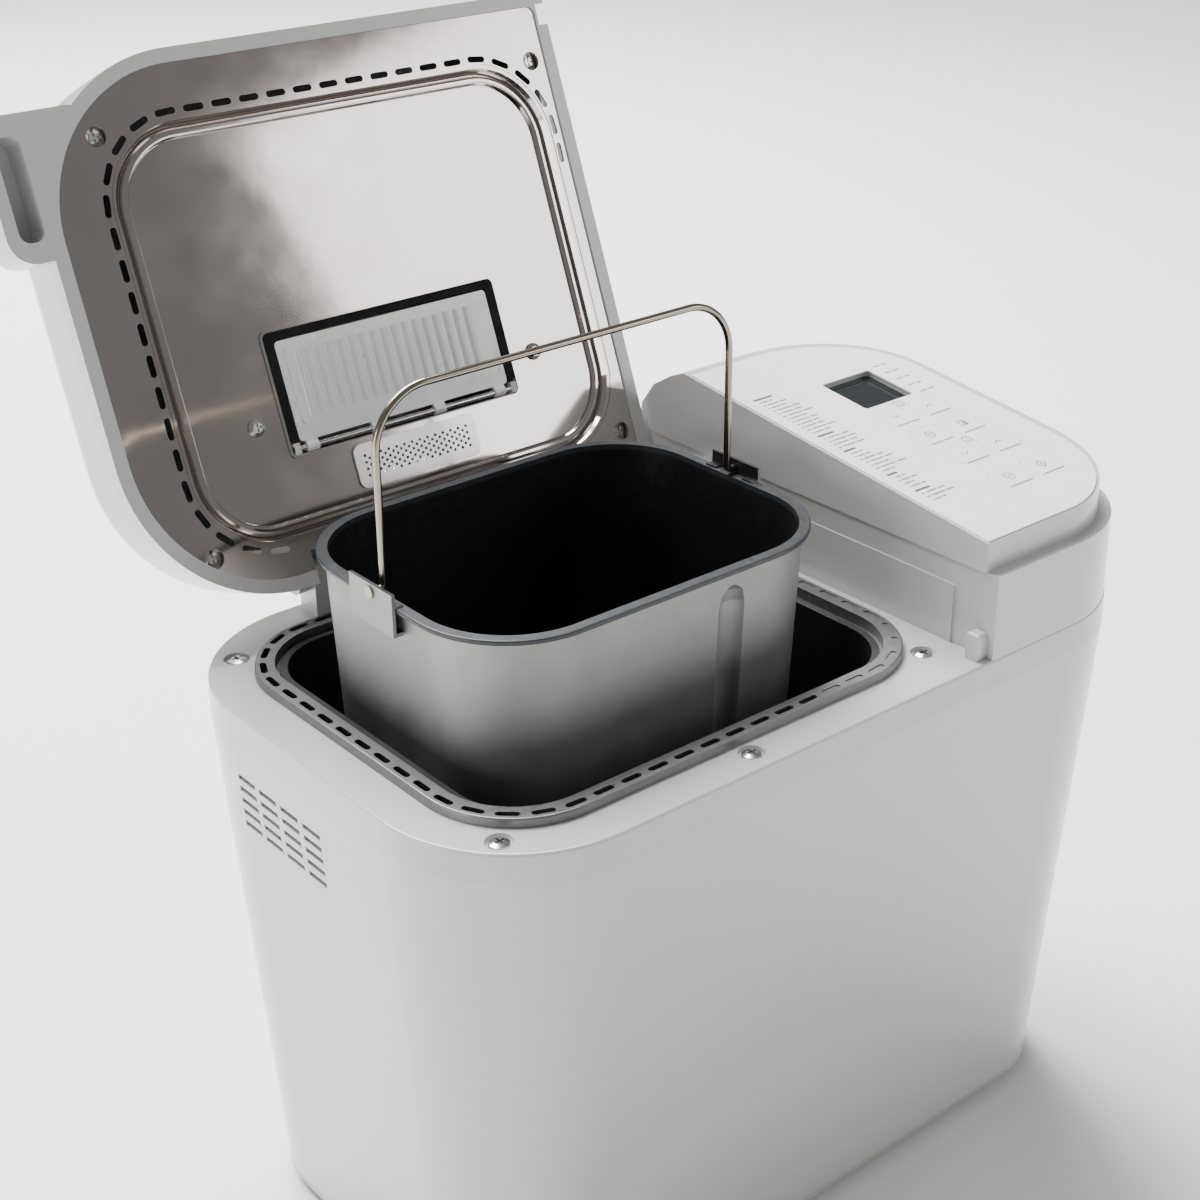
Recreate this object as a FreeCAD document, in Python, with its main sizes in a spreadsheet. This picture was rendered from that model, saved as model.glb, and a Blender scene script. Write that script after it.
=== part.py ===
import FreeCAD, Part
import math
import os

import Sketcher

# Bread machine: one pan chamber on the left, a control tower on the right, a hinged lid.
# Millimetres.  Origin on the floor under the middle of the casing, +X to the control
# tower, +Y to the back, +Z up.  The lid stands open and the pan is lifted out of its seat.

V = FreeCAD.Vector
doc = FreeCAD.newDocument("bread_machine")
sheet = doc.addObject("Spreadsheet::Sheet", "dims")

# ---------------------------------------------------------------- driving dimensions

DIMENSIONS = [
    ("body_width", 408, "casing width at its seam"),
    ("body_depth", 252, "casing depth at its seam"),
    ("body_corner", 68, "casing corner radius at the seam"),
    ("body_taper", 16, "how far each side leans in towards the base"),
    ("casing_wall", 2.4, "moulded wall"),
    ("foot_height", 5, "rubber foot"),
    ("base_thickness", 3, "base plate"),
    ("seam_height", 266, "top of the lower casing"),
    ("deck_height", 280, "deck around the chamber"),
    ("deck_thickness", 2.6, "deck moulding"),
    ("deck_inset", 1.2, "deck edge inside the seam"),
    ("tower_left", 79.6, "left wall of the control tower"),
    ("tower_rise", 41, "tower ledge above the deck"),
    ("tower_inset", 3, "tower side inside the seam at the ledge"),
    ("cap_inset", 6, "control cap inside the ledge"),
    ("cap_front_rise", 55.2, "panel's front edge above the deck"),
    ("panel_slope", 6.8, "panel slope, degrees"),
    ("chamber_x", -57.2, "chamber axis"),
    ("chamber_y", -2.2, "chamber axis"),
    ("chamber_floor", 108, "chamber floor above the table"),
    ("liner_half_x", 111.5, "chamber opening"),
    ("liner_half_y", 91.4, "chamber opening"),
    ("liner_corner", 31.3, "chamber opening corner"),
    ("liner_wall", 1, "chamber sheet steel"),
    ("ring_half_x", 126.8, "chamber ring outside"),
    ("ring_half_y", 104.3, "chamber ring outside"),
    ("ring_corner", 45.4, "chamber ring corner"),
    ("ring_width", 9.1, "chamber ring top face"),
    ("ring_rise", 4.3, "chamber ring above the deck"),
    ("slot_pitch", 14.16, "ring and lid slot spacing"),
    ("slot_long", 10, "slot length"),
    ("slot_wide", 3, "slot width"),
    ("slot_inset", 4, "slot line inside the ring's edge"),
    ("lid_left", -209.7, "lid rim"),
    ("lid_right", 76.3, "lid rim beside the tower"),
    ("lid_front", -129.7, "lid rim"),
    ("lid_back", 117.8, "lid rim"),
    ("lid_corner", 75, "lid corner radius on the open side"),
    ("lid_lip", 6.5, "white lip around the lid plate"),
    ("lid_gap", 5, "lid rim above the deck when closed"),
    ("lid_open_angle", 111.3, "how far the lid stands open, degrees"),
    ("hinge_y", 114.4, "lid hinge axis"),
    ("hinge_rise", 19.3, "lid hinge axis above the deck"),
    ("plate_rise", 6, "lid plate above the deck when closed"),
    ("dish_depth", 4, "middle of the lid plate pressed back"),
    ("sheet_steel", 0.8, "pressed sheet"),
    ("pan_half_x", 97.2, "pan body at the rim"),
    ("pan_half_y", 74.4, "pan body at the rim"),
    ("pan_corner", 43.6, "pan corner radius at the rim"),
    ("pan_lip", 3.4, "pan rim flange"),
    ("pan_height", 132, "pan body height"),
    ("pan_taper", 5.8, "pan side leans in towards its base"),
    ("pan_wall", 1.6, "pan casting"),
    ("pan_rise", 62.3, "lifted pan rim above the deck"),
    ("pan_shift_x", -4.5, "lifted pan beside its seat"),
    ("pan_shift_y", 3.6, "lifted pan beside its seat"),
    ("bail_rise", 83.3, "bail crown above its pivots"),
    ("bail_half", 95.5, "bail leg from the pan's middle"),
    ("bail_bend", 25, "bail corner radius"),
    ("wire_radius", 1.65, "bail wire"),
    ("chassis_level", 56, "underside of the drive chassis"),
    ("chassis_sheet", 2, "drive chassis sheet"),
    ("belt_level", 36, "middle of the belt"),
    ("big_pulley", 58, "chamber pulley radius at the belt"),
    ("small_pulley", 11, "motor pulley radius at the belt"),
    ("motor_x", 124, "motor axis"),
    ("shaft_radius", 5, "drive shaft"),
    ("key_column", 135.2, "left column of keys"),
    ("key_pitch", 23, "key columns apart"),
    ("key_wide", 20, "key width"),
    ("key_deep", 15, "key depth"),
    ("screen_x", 145, "display window middle"),
    ("screen_y", 18.8, "display window middle"),
    ("screen_wide", 34.6, "display window"),
    ("screen_deep", 32.6, "display window"),
    ("running_gap", 0.3, "air between moving neighbours"),
]


class Size:
    """A size with its value and the sheet formula that gives it."""

    def __init__(self, value, text):
        self.value = float(value)
        self.text = text

    @staticmethod
    def of(thing):
        return thing if isinstance(thing, Size) else Size(thing, repr(float(thing)))

    def __add__(self, other):
        other = Size.of(other)
        return Size(self.value + other.value, f"({self.text} + {other.text})")

    def __sub__(self, other):
        other = Size.of(other)
        return Size(self.value - other.value, f"({self.text} - {other.text})")

    def __mul__(self, other):
        other = Size.of(other)
        return Size(self.value * other.value, f"({self.text} * {other.text})")

    def __truediv__(self, other):
        other = Size.of(other)
        return Size(self.value / other.value, f"({self.text} / {other.text})")

    def __radd__(self, other):
        return Size.of(other) + self

    def __rsub__(self, other):
        return Size.of(other) - self

    def __rmul__(self, other):
        return Size.of(other) * self

    def __neg__(self):
        return Size.of(0) - self


def turn(kind, angle):
    """Sine, cosine or tangent of an angle in degrees."""
    value = getattr(math, kind)(math.radians(angle.value))
    return Size(value, f"{kind}({angle.text} * 1 deg)")


for row, (alias, number, note) in enumerate(DIMENSIONS, start=1):
    sheet.set(f"A{row}", note)
    sheet.set(f"B{row}", str(number))
    sheet.setAlias(f"B{row}", alias)
doc.recompute()


class Dims:
    """Named sizes from the sheet."""


for alias, number, note in DIMENSIONS:
    setattr(Dims, alias, Size(sheet.get(alias), f"dims.{alias}"))

deck = Dims.deck_height
seam = Dims.seam_height
half_width = Dims.body_width / 2
half_depth = Dims.body_depth / 2
base_top = Dims.foot_height + Dims.base_thickness
wall = Dims.casing_wall
chamber = (Dims.chamber_x, Dims.chamber_y)
gap = Dims.running_gap

# ---------------------------------------------------------------- making helpers

NODES = []


def bind(thing, **sizes):
    """Tie properties to sheet formulas; a double underscore in a name stands for a dot."""
    for name, size in sizes.items():
        thing.setExpression(name.replace("__", "."), Size.of(size).text)
    return thing


def place(thing, x=0, y=0, z=0):
    return bind(thing, Placement__Base__x=x, Placement__Base__y=y, Placement__Base__z=z)


def node(name, thing):
    """Name a finished sub-part."""
    thing.Label = name
    NODES.append(thing)
    return thing


def new_body(name="Body"):
    return doc.addObject("PartDesign::Body", name)


def origin_plane(body, role):
    return next(part for part in body.Origin.OriginFeatures if part.Role == role)


def new_sketch(body, role, level=0):
    sketch = body.newObject("Sketcher::SketchObject", "Sketch")
    sketch.AttachmentSupport = [(origin_plane(body, role), "")]
    sketch.MapMode = "FlatFace"
    return bind(sketch, AttachmentOffset__Base__z=level)


def pin_point(sketch, axis, line, end, at, name):
    """Hold one end of a line at a signed distance from the sketch origin."""
    at = Size.of(at)
    if at.value < 0:
        at = -at
        pins = (line, end, -1, 1)
    else:
        pins = (-1, 1, line, end)
    sketch.addConstraint(Sketcher.Constraint("Distance" + axis, *pins, at.value))
    sketch.renameConstraint(sketch.ConstraintCount - 1, name)
    bind(sketch, **{"Constraints__" + name: at})


def outline(body, level, left, right, front, back, radii):
    """Rectangle with a radius at front left, front right, back right and back left."""
    sketch = new_sketch(body, "XY_Plane", level)
    x0, x1, y0, y1 = (Size.of(side).value for side in (left, right, front, back))
    corners = [(x0, y0), (x1, y0), (x1, y1), (x0, y1)]
    bends = [Size.of(radius).value for radius in radii]
    ways = [(1, 0), (0, 1), (-1, 0), (0, -1)]
    for side in range(4):
        (ax, ay), (bx, by) = corners[side], corners[(side + 1) % 4]
        (dx, dy), first, last = ways[side], bends[side], bends[(side + 1) % 4]
        start = V(ax + dx * first, ay + dy * first, 0)
        end = V(bx - dx * last, by - dy * last, 0)
        sketch.addGeometry(Part.LineSegment(start, end))
        sketch.addConstraint(Sketcher.Constraint("Horizontal" if dx else "Vertical", side))
    for side in range(4):
        before = (side - 1) % 4
        if bends[side] == 0:
            sketch.addConstraint(Sketcher.Constraint("Coincident", before, 2, side, 1))
            continue
        (dx, dy), (px, py) = ways[side], ways[before]
        (cx, cy), radius = corners[side], bends[side]
        middle = V(cx + (dx - px) * radius, cy + (dy - py) * radius, 0)
        start = math.atan2(-dy, -dx)
        bend = Part.ArcOfCircle(Part.Circle(middle, V(0, 0, 1), radius), start, start + math.pi / 2)
        arc = sketch.addGeometry(bend)
        sketch.addConstraint(Sketcher.Constraint("Tangent", before, 2, arc, 1))
        sketch.addConstraint(Sketcher.Constraint("Tangent", arc, 2, side, 1))
        sketch.addConstraint(Sketcher.Constraint("Radius", arc, radius))
        sketch.renameConstraint(sketch.ConstraintCount - 1, f"corner{side}")
        bind(sketch, **{f"Constraints__corner{side}": radii[side]})
    pin_point(sketch, "Y", 0, 1, front, "front")
    pin_point(sketch, "X", 1, 1, right, "right")
    pin_point(sketch, "Y", 2, 1, back, "back")
    pin_point(sketch, "X", 3, 1, left, "left")
    return sketch


def centred(body, level, half_x, half_y, corner, middle=(0, 0)):
    x, y = (Size.of(value) for value in middle)
    return outline(body, level, x - half_x, x + half_x, y - half_y, y + half_y, [corner] * 4)


def polygon(body, role, points, level=0):
    """Closed sketch of straight sides whose corners are all tied to the sheet."""
    sketch = new_sketch(body, role, level)
    numbers = [[Size.of(value).value for value in point] for point in points]
    count = len(points)
    for index in range(count):
        start, end = numbers[index], numbers[(index + 1) % count]
        sketch.addGeometry(Part.LineSegment(V(*start, 0), V(*end, 0)))
    for index in range(count):
        after = (index + 1) % count
        sketch.addConstraint(Sketcher.Constraint("Coincident", index, 2, after, 1))
        pin_point(sketch, "X", index, 1, points[index][0], f"across{index}")
        pin_point(sketch, "Y", index, 1, points[index][1], f"up{index}")
    return sketch


def pad(body, sketch, length, both=False):
    feature = body.newObject("PartDesign::Pad", "Pad")
    feature.Profile = sketch
    feature.Midplane = both
    return bind(feature, Length=length)


def loft(body, sketches, kind="Additive"):
    feature = body.newObject(f"PartDesign::{kind}Loft", "Loft")
    feature.Profile = sketches[0]
    feature.Sections = sketches[1:]
    feature.Ruled = True
    return feature


def round_over(level, inset, radius, steps=3):
    """Levels and insets that carry a wall up and over a rounded edge ending at `level`."""
    angles = [math.pi / 2 * step / steps for step in range(steps + 1)]
    return [(level - radius + radius * math.sin(a), inset + radius * (1 - math.cos(a))) for a in angles]


def round_under(level, inset, radius, steps=3):
    """Levels and insets of a rounded bottom edge that starts at `level`."""
    angles = [math.pi / 2 * (1 - step / steps) for step in range(steps + 1)]
    return [(level + radius * (1 - math.sin(a)), inset + radius * (1 - math.cos(a))) for a in angles]


def slab(level, height, half_x, half_y, corner, middle=(0, 0)):
    body = new_body()
    pad(body, centred(body, level, half_x, half_y, corner, middle), height)
    return body


def turned(points, x=0, y=0, z=0, axis=None):
    """Piece of revolution from radius and height pairs, its own axis along Z."""
    body = new_body()
    sketch = polygon(body, "XZ_Plane", points)
    spin = body.newObject("PartDesign::Revolution", "Revolution")
    spin.Profile = sketch
    spin.ReferenceAxis = (sketch, ["V_Axis"])
    spin.Angle = 360
    if axis:
        body.Placement.Rotation = FreeCAD.Rotation(V(0, 0, 1), V(*axis))
    return place(body, x, y, z)


def box(x0, x1, y0, y1, z0, z1):
    thing = doc.addObject("Part::Box", "Box")
    x0, x1, y0, y1, z0, z1 = (Size.of(value) for value in (x0, x1, y0, y1, z0, z1))
    bind(thing, Length=x1 - x0, Width=y1 - y0, Height=z1 - z0)
    return place(thing, x0, y0, z0)


def rod(radius, length, x, y, z, axis=(0, 0, 1)):
    thing = doc.addObject("Part::Cylinder", "Rod")
    bind(thing, Radius=radius, Height=length)
    thing.Placement.Rotation = FreeCAD.Rotation(V(0, 0, 1), V(*axis))
    return place(thing, x, y, z)


def plus(*things):
    joined = doc.addObject("Part::MultiFuse", "Join")
    joined.Shapes = list(things)
    joined.Refine = True
    return joined


def minus(base, *tools):
    cut = doc.addObject("Part::Cut", "Cut")
    cut.Base = base
    cut.Tool = tools[0] if len(tools) == 1 else plus(*tools)
    cut.Refine = True
    return cut


def common(base, tool):
    both = doc.addObject("Part::Common", "Common")
    both.Base = base
    both.Tool = tool
    return both


def group(*things):
    """Separate solids that share one node."""
    bundle = doc.addObject("Part::Compound", "Group")
    bundle.Links = list(things)
    return bundle


def rounded(base, radius, chosen):
    """Fillet the edges that the test picks."""
    doc.recompute()
    feature = doc.addObject("Part::Fillet", "Rounded")
    feature.Base = base
    edges = base.Shape.Edges
    feature.Edges = [(i + 1, radius, radius) for i, edge in enumerate(edges) if chosen(edge)]
    return feature


def lies_at(height, slack=0.01):
    """Test for edges that lie flat at one height."""
    height = Size.of(height).value
    return lambda edge: (
        abs(edge.BoundBox.ZMin - height) < slack and abs(edge.BoundBox.ZMax - height) < slack
    )


def sweep(path_body, radius, start, start_axis):
    """Round bar along the path sketch of a body, from its start point."""
    ring = doc.addObject("Part::Circle", "Section")
    bind(ring, Radius=radius)
    ring.Placement.Rotation = FreeCAD.Rotation(V(0, 0, 1), V(*start_axis))
    place(ring, *start)
    doc.recompute()
    swept = doc.addObject("Part::Sweep", "Swept")
    swept.Sections = [ring]
    swept.Spine = (path_body, [f"Edge{i + 1}" for i in range(len(path_body.Shape.Edges))])
    swept.Solid = True
    swept.Frenet = False
    return swept


def square_path(role, points, radii, level=0):
    """Open path of square turns, each rounded, as a loose sketch on a main plane."""
    sketch = doc.addObject("Sketcher::SketchObject", "Path")
    if role == "XZ":
        sketch.Placement = FreeCAD.Placement(V(0, 0, 0), FreeCAD.Rotation(V(1, 0, 0), 90))
        bind(sketch, Placement__Base__y=level)
    else:
        bind(sketch, Placement__Base__z=level)
    numbers = [[Size.of(value).value for value in point] for point in points]
    bends = [0] + [Size.of(radius).value for radius in radii] + [0]
    count = len(points) - 1
    ways = []
    for index in range(count):
        start, end = V(*numbers[index], 0), V(*numbers[index + 1], 0)
        way = (end - start).normalize()
        ways.append(way)
        sketch.addGeometry(Part.LineSegment(start + way * bends[index], end - way * bends[index + 1]))
        across = abs(way.x) > abs(way.y)
        sketch.addConstraint(Sketcher.Constraint("Horizontal" if across else "Vertical", index))
        fixed, free = (("Y", 1), ("X", 0)) if across else (("X", 0), ("Y", 1))
        pin_point(sketch, fixed[0], index, 1, points[index][fixed[1]], f"line{index}")
        if index == 0:
            pin_point(sketch, free[0], index, 1, points[0][free[1]], "begin")
        if index == count - 1:
            pin_point(sketch, free[0], index, 2, points[-1][free[1]], "finish")
    for index in range(1, count):
        before, after, radius = ways[index - 1], ways[index], bends[index]
        corner = V(*numbers[index], 0)
        middle = corner + (after - before) * radius
        leftward = before.x * after.y - before.y * after.x > 0
        entry = corner - before * radius if leftward else corner + after * radius
        start = math.atan2(entry.y - middle.y, entry.x - middle.x)
        bend = Part.ArcOfCircle(Part.Circle(middle, V(0, 0, 1), radius), start, start + math.pi / 2)
        arc = sketch.addGeometry(bend)
        ends = (1, 2) if leftward else (2, 1)
        sketch.addConstraint(Sketcher.Constraint("Tangent", index - 1, 2, arc, ends[0]))
        sketch.addConstraint(Sketcher.Constraint("Tangent", arc, ends[1], index, 1))
        sketch.addConstraint(Sketcher.Constraint("Radius", arc, radius))
        sketch.renameConstraint(sketch.ConstraintCount - 1, f"bend{index}")
        bind(sketch, **{f"Constraints__bend{index}": radii[index - 1]})
    return sketch


def slot_places(half_x, half_y, corner, first, count, pitch):
    """Middle and heading of each slot along a rounded rectangle, clockwise from the left side."""
    straight_x, straight_y = half_x - corner, half_y - corner
    bend = corner * math.pi / 2
    runs = [
        (V(-half_x, straight_y, 0), V(0, -1, 0), 2 * straight_y),
        (V(-straight_x, -half_y, 0), V(1, 0, 0), 2 * straight_x),
        (V(half_x, -straight_y, 0), V(0, 1, 0), 2 * straight_y),
        (V(straight_x, half_y, 0), V(-1, 0, 0), 2 * straight_x),
    ]
    places = []
    for index in range(count):
        along = (first + index * pitch) % (4 * (straight_x + straight_y) + 4 * bend)
        for start, way, length in runs:
            if along < length:
                places.append((start + way * along, way))
                break
            along -= length
            side = V(-way.y, way.x, 0)
            if along < bend:
                angle = along / corner
                end = start + way * length
                middle = end + side * corner
                heading = way * math.cos(angle) + side * math.sin(angle)
                outward = way * math.sin(angle) - side * math.cos(angle)
                places.append((middle + outward * corner, heading))
                break
            along -= bend
    return places


def slot_cutters(places, long, wide, bottom, height):
    """Stadium prisms at the slot places, as one tool."""
    shapes = []
    for spot, way in places:
        side = V(-way.y, way.x, 0) * (wide / 2)
        reach = way * ((long - wide) / 2)
        ends = [spot - reach - side, spot + reach - side, spot + reach + side, spot - reach + side]
        edges = [
            Part.LineSegment(ends[0], ends[1]).toShape(),
            Part.Arc(ends[1], spot + reach + way * (wide / 2), ends[2]).toShape(),
            Part.LineSegment(ends[2], ends[3]).toShape(),
            Part.Arc(ends[3], spot - reach - way * (wide / 2), ends[0]).toShape(),
        ]
        face = Part.Face(Part.Wire(edges))
        face.translate(V(0, 0, bottom))
        shapes.append(face.extrude(V(0, 0, height)))
    tool = doc.addObject("Part::Feature", "Slots")
    tool.Shape = Part.makeCompound(shapes)
    return tool


# ---------------------------------------------------------------- casing

def casing_outline(body, level, inset):
    return centred(body, level, half_width - inset, half_depth - inset, Dims.body_corner - inset)


lower_casing = new_body()
loft(lower_casing, [casing_outline(lower_casing, base_top, Dims.body_taper),
                    casing_outline(lower_casing, seam, 0)])
loft(lower_casing, [casing_outline(lower_casing, base_top, Dims.body_taper + wall),
                    casing_outline(lower_casing, seam, wall)], "Subtractive")
vents = [box(-half_width - 2, -half_width + 20, y - 7, y + 7, deck + z - 1.3, deck + z + 1.3)
         for y in (49.9, 32.7, 15.3, -2.1)
         for z in (-33, -39.1, -45.2, -51.3, -57.4)]
cord_x, cord_z = 150, 40
cord_hole = rod(6.2, 40, cord_x, half_depth - 30, cord_z, (0, 1, 0))
node("body_shell", minus(lower_casing, *vents, cord_hole))

base = new_body()
pad(base, casing_outline(base, Dims.foot_height, Dims.body_taper), Dims.base_thickness)
FOOT_SPOTS = [(x, y) for x in (-150, 150) for y in (-78, 78)] + [(0, 0)]
BASE_SCREW_SPOTS = [(x, y) for x in (-118, 150) for y in (-84, 84)]
screw_holes = [rod(1.6, 10, x, y, Dims.foot_height - 1) for x, y in BASE_SCREW_SPOTS]
screw_sinks = [rod(4.2, 2.5, x, y, Dims.foot_height - 1) for x, y in BASE_SCREW_SPOTS]
node("base_plate", minus(base, *screw_holes, *screw_sinks))

FOOT_PROFILE = [(0, 0), (7, 0), (9, 2), (9, Dims.foot_height), (0, Dims.foot_height)]
node("feet", group(*[turned(FOOT_PROFILE, x, y, 0) for x, y in FOOT_SPOTS]))

SCREW_PROFILE = [(0, 0), (3.4, 0), (4, 0.8), (4, 1.5), (1.5, 1.5), (1.5, 9), (0, 9)]
node("base_screws", group(*[turned(SCREW_PROFILE, x, y, Dims.foot_height)
                            for x, y in BASE_SCREW_SPOTS]))

plug = turned([(2.6, -8), (6.1, -8), (6.1, 2.4), (9, 2.4), (8, 6), (5, 22), (2.6, 22)], axis=(0, 1, 0))
node("cord_gland", place(plug, cord_x, half_depth - Dims.body_taper + 2.2, cord_z))

# ---------------------------------------------------------------- top frame and tower

ledge = deck + Dims.tower_rise
tower_left = Dims.tower_left


def tower_outline(body, level, inset, front_inset, left=tower_left):
    """The tower is square beside the lid and follows the casing's corners elsewhere."""
    bend = Dims.body_corner - inset
    return outline(body, level, left, half_width - inset, -half_depth + front_inset,
                   half_depth - inset, [0, bend, bend, 0])


deck_body = new_body()
deck_sections = [(seam, 0)] + round_over(deck, Dims.deck_inset / 4, Dims.deck_inset)
loft(deck_body, [casing_outline(deck_body, level, inset) for level, inset in deck_sections])
tower_body = new_body()
loft(tower_body, [tower_outline(tower_body, deck - 6, Dims.deck_inset, 0.6),
                  tower_outline(tower_body, ledge, Dims.tower_inset, 0.9)])
wall_panel = box(tower_left - 0.8, tower_left + 1, -100.9, 118, deck - 2, deck + 29)
frame_solid = plus(deck_body, tower_body, wall_panel)

under_deck = new_body()
loft(under_deck, [casing_outline(under_deck, seam - 1, wall),
                  casing_outline(under_deck, deck - Dims.deck_thickness, Dims.deck_inset + wall)])
inside_tower = new_body()
inset_level = Dims.tower_inset + wall
loft(inside_tower, [
    tower_outline(inside_tower, deck - 7, Dims.deck_inset + wall, wall, tower_left + wall),
    tower_outline(inside_tower, ledge - wall, inset_level, wall, tower_left + wall)])
cap_inset = Dims.tower_inset + Dims.cap_inset
cap_left = tower_left - 0.8
cap_front = -half_depth + Dims.cap_inset + 1.4


def cap_outline(body, level, inset, extra=0):
    """The control cap stands inside the ledge; `extra` moves its square sides inwards."""
    bend = Dims.body_corner - inset
    return outline(body, level, cap_left + extra, half_width - inset, cap_front + extra,
                   half_depth - inset, [0, bend, bend, 0])


cap_opening = new_body()
pad(cap_opening, cap_outline(cap_opening, ledge - 10, cap_inset + wall, wall + 1), 12)
ring_seat = slab(deck - 8, 12, Dims.ring_half_x - 1.8, Dims.ring_half_y - 1.8,
                 Dims.ring_corner - 1.8, chamber)
DECK_SCREW_SPOTS = [(-176.9, 96.7), (-176.9, -99.9), (-57.2, -113.9), (62.2, -99.9), (62.2, 96.7)]
recesses = [turned([(0, -0.2), (5.4, -0.2), (6.4, 3), (0, 3)], x, y, deck - 1.6)
            for x, y in DECK_SCREW_SPOTS]
screw_ways = [rod(1.7, 8, x, y, deck - 7) for x, y in DECK_SCREW_SPOTS]
hollow_frame = minus(frame_solid, under_deck, inside_tower, cap_opening, ring_seat)
sockets = [rod(8, 6, x, y, deck - 6.5) for x, y in DECK_SCREW_SPOTS]
stop_post = rounded(box(tower_left - 6.8, tower_left, -122, -115, deck - 1, deck + 13), 1.5,
                    lies_at(deck + 13))
top_frame = minus(plus(hollow_frame, stop_post, *sockets), *recesses, *screw_ways)
node("top_frame", top_frame)

HEAD_PROFILE = [(0, 0), (1.6, 0), (1.6, 4.9), (4.6, 4.9), (4.3, 6.2), (2.4, 7), (0, 7)]


def cross_slots(x, y, z):
    """Two crossed blades that cut a screw head's recess."""
    return [box(x - 2.4, x + 2.4, y - 0.45, y + 0.45, z, z + 3),
            box(x - 0.45, x + 0.45, y - 2.4, y + 2.4, z, z + 3)]


deck_screws = [minus(turned(HEAD_PROFILE, x, y, deck - 6.7), *cross_slots(x, y, deck - 1.2))
               for x, y in DECK_SCREW_SPOTS]
node("deck_screws", group(*deck_screws))

# ---------------------------------------------------------------- control cap and panel

slope = turn("tan", Dims.panel_slope)
panel_front = deck + Dims.cap_front_rise


def panel_height(y):
    """Height of the sloping panel at a depth."""
    return panel_front + (y - cap_front) * slope


def panel_band(bottom, low, high):
    """Everything in the tower between `low` and `high` above the sloping panel."""
    body = new_body()
    front, back = cap_front - 5, half_depth
    lower = [(front, bottom), (back, bottom)] if bottom else [
        (front, panel_height(front) + low), (back, panel_height(back) + low)]
    points = lower + [(back, panel_height(back) + high), (front, panel_height(front) + high)]
    pad(body, polygon(body, "YZ_Plane", points, cap_left - 20), 260)
    return body


CAP_SECTIONS = [(0, 0, 0, 0), (14, 0.6, 3, 3), (26, 1.2, 12, 7), (34, 1.8, 25, 10), (43, 2.6, 46, 12)]


def cap_block(inset, extra=0, lower=0):
    """The cap's walls: near upright at the sides, falling away in a broad curve at the back."""
    body = new_body()
    bend = Dims.body_corner - inset
    sections = []
    for rise, side, back, corner in CAP_SECTIONS:
        start = lower if rise == 0 else 0
        sections.append(outline(body, ledge + rise - start, cap_left + extra, half_width - inset - side,
                                cap_front + extra, half_depth - inset - back,
                                [0, bend, bend + corner, 0]))
    loft(body, sections)
    return body


cap_solid = common(cap_block(cap_inset), panel_band(ledge.value - 5, 0, 0))
cap_hollow = common(cap_block(cap_inset + wall, wall, 1), panel_band(ledge.value - 5, 0, -wall.value - 0.2))


def on_panel(shape_list):
    """Tilt pieces made flat about the panel's front edge up onto the slope."""
    for thing in shape_list:
        thing.Placement.Rotation = FreeCAD.Rotation(V(1, 0, 0), 90)
        bind(thing, Placement__Rotation__Angle=Dims.panel_slope)
        place(thing, 0, cap_front, panel_front)
    return shape_list


def panel_slab(depth, thickness, x, y, half_x, half_y, corner):
    """Rounded plate lying in the panel's own plane, its top `depth` above the panel."""
    body = new_body()
    flat_y = (y - cap_front) / turn("cos", Dims.panel_slope)
    pad(body, centred(body, depth - thickness, half_x, half_y, corner, (x, flat_y)), thickness)
    on_panel([body])
    return body


KEYS = {
    "menu_down_key": (0, -11.2), "menu_up_key": (1, -11.2),
    "crust_key": (1, -33.4), "size_key": (0, -33.4),
    "timer_down_key": (0, -55.7), "timer_up_key": (1, -55.7),
    "stop_key": (0, -82.5), "start_key": (1, -82.5),
}
film = 0.8
key_hole_x, key_hole_y = Dims.key_wide / 2 + 0.2, Dims.key_deep / 2 + 0.2
screen_half_x, screen_half_y = Dims.screen_wide / 2, Dims.screen_deep / 2


def key_spot(name):
    column, y = KEYS[name]
    return Dims.key_column + Dims.key_pitch * column, y


def key_plate(name, depth, thickness, grow=0):
    x, y = key_spot(name)
    return panel_slab(depth, thickness, x, y, Dims.key_wide / 2 + grow, Dims.key_deep / 2 + grow, 4)


key_wells = [key_plate(name, 0.5, 6, 0.2) for name in KEYS]
screen_well = panel_slab(0.5, 8, Dims.screen_x, Dims.screen_y, screen_half_x, screen_half_y, 2)
node("control_cap", minus(cap_solid, cap_hollow, *key_wells, screen_well))

film_body = cap_block(cap_inset + 5, 0.9)
film_band = panel_band(0, 0, film)
film_wells = [key_plate(name, film + 0.5, 3, 0.2) for name in KEYS]
film_window = panel_slab(film + 0.5, 3, Dims.screen_x, Dims.screen_y, screen_half_x - 0.6,
                         screen_half_y - 0.6, 1.6)
node("panel_overlay", minus(common(film_body, film_band), *film_wells, film_window))

for name in KEYS:
    x, y = key_spot(name)
    flat_y = (y - cap_front) / turn("cos", Dims.panel_slope)
    key_cap = new_body()
    pad(key_cap, centred(key_cap, film - 2.4, Dims.key_wide / 2, Dims.key_deep / 2, 4, (x, flat_y)), 2.4)
    pad(key_cap, centred(key_cap, film - 0.2, Dims.key_wide / 2 - 2.6, 0.45, 0.3,
                         (x, flat_y - Dims.key_deep / 2 + 0.9)), 0.65)
    pad(key_cap, centred(key_cap, film - 5, 2, 2, 1, (x, flat_y)), 3)
    on_panel([key_cap])
    node(name, key_cap)

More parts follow.
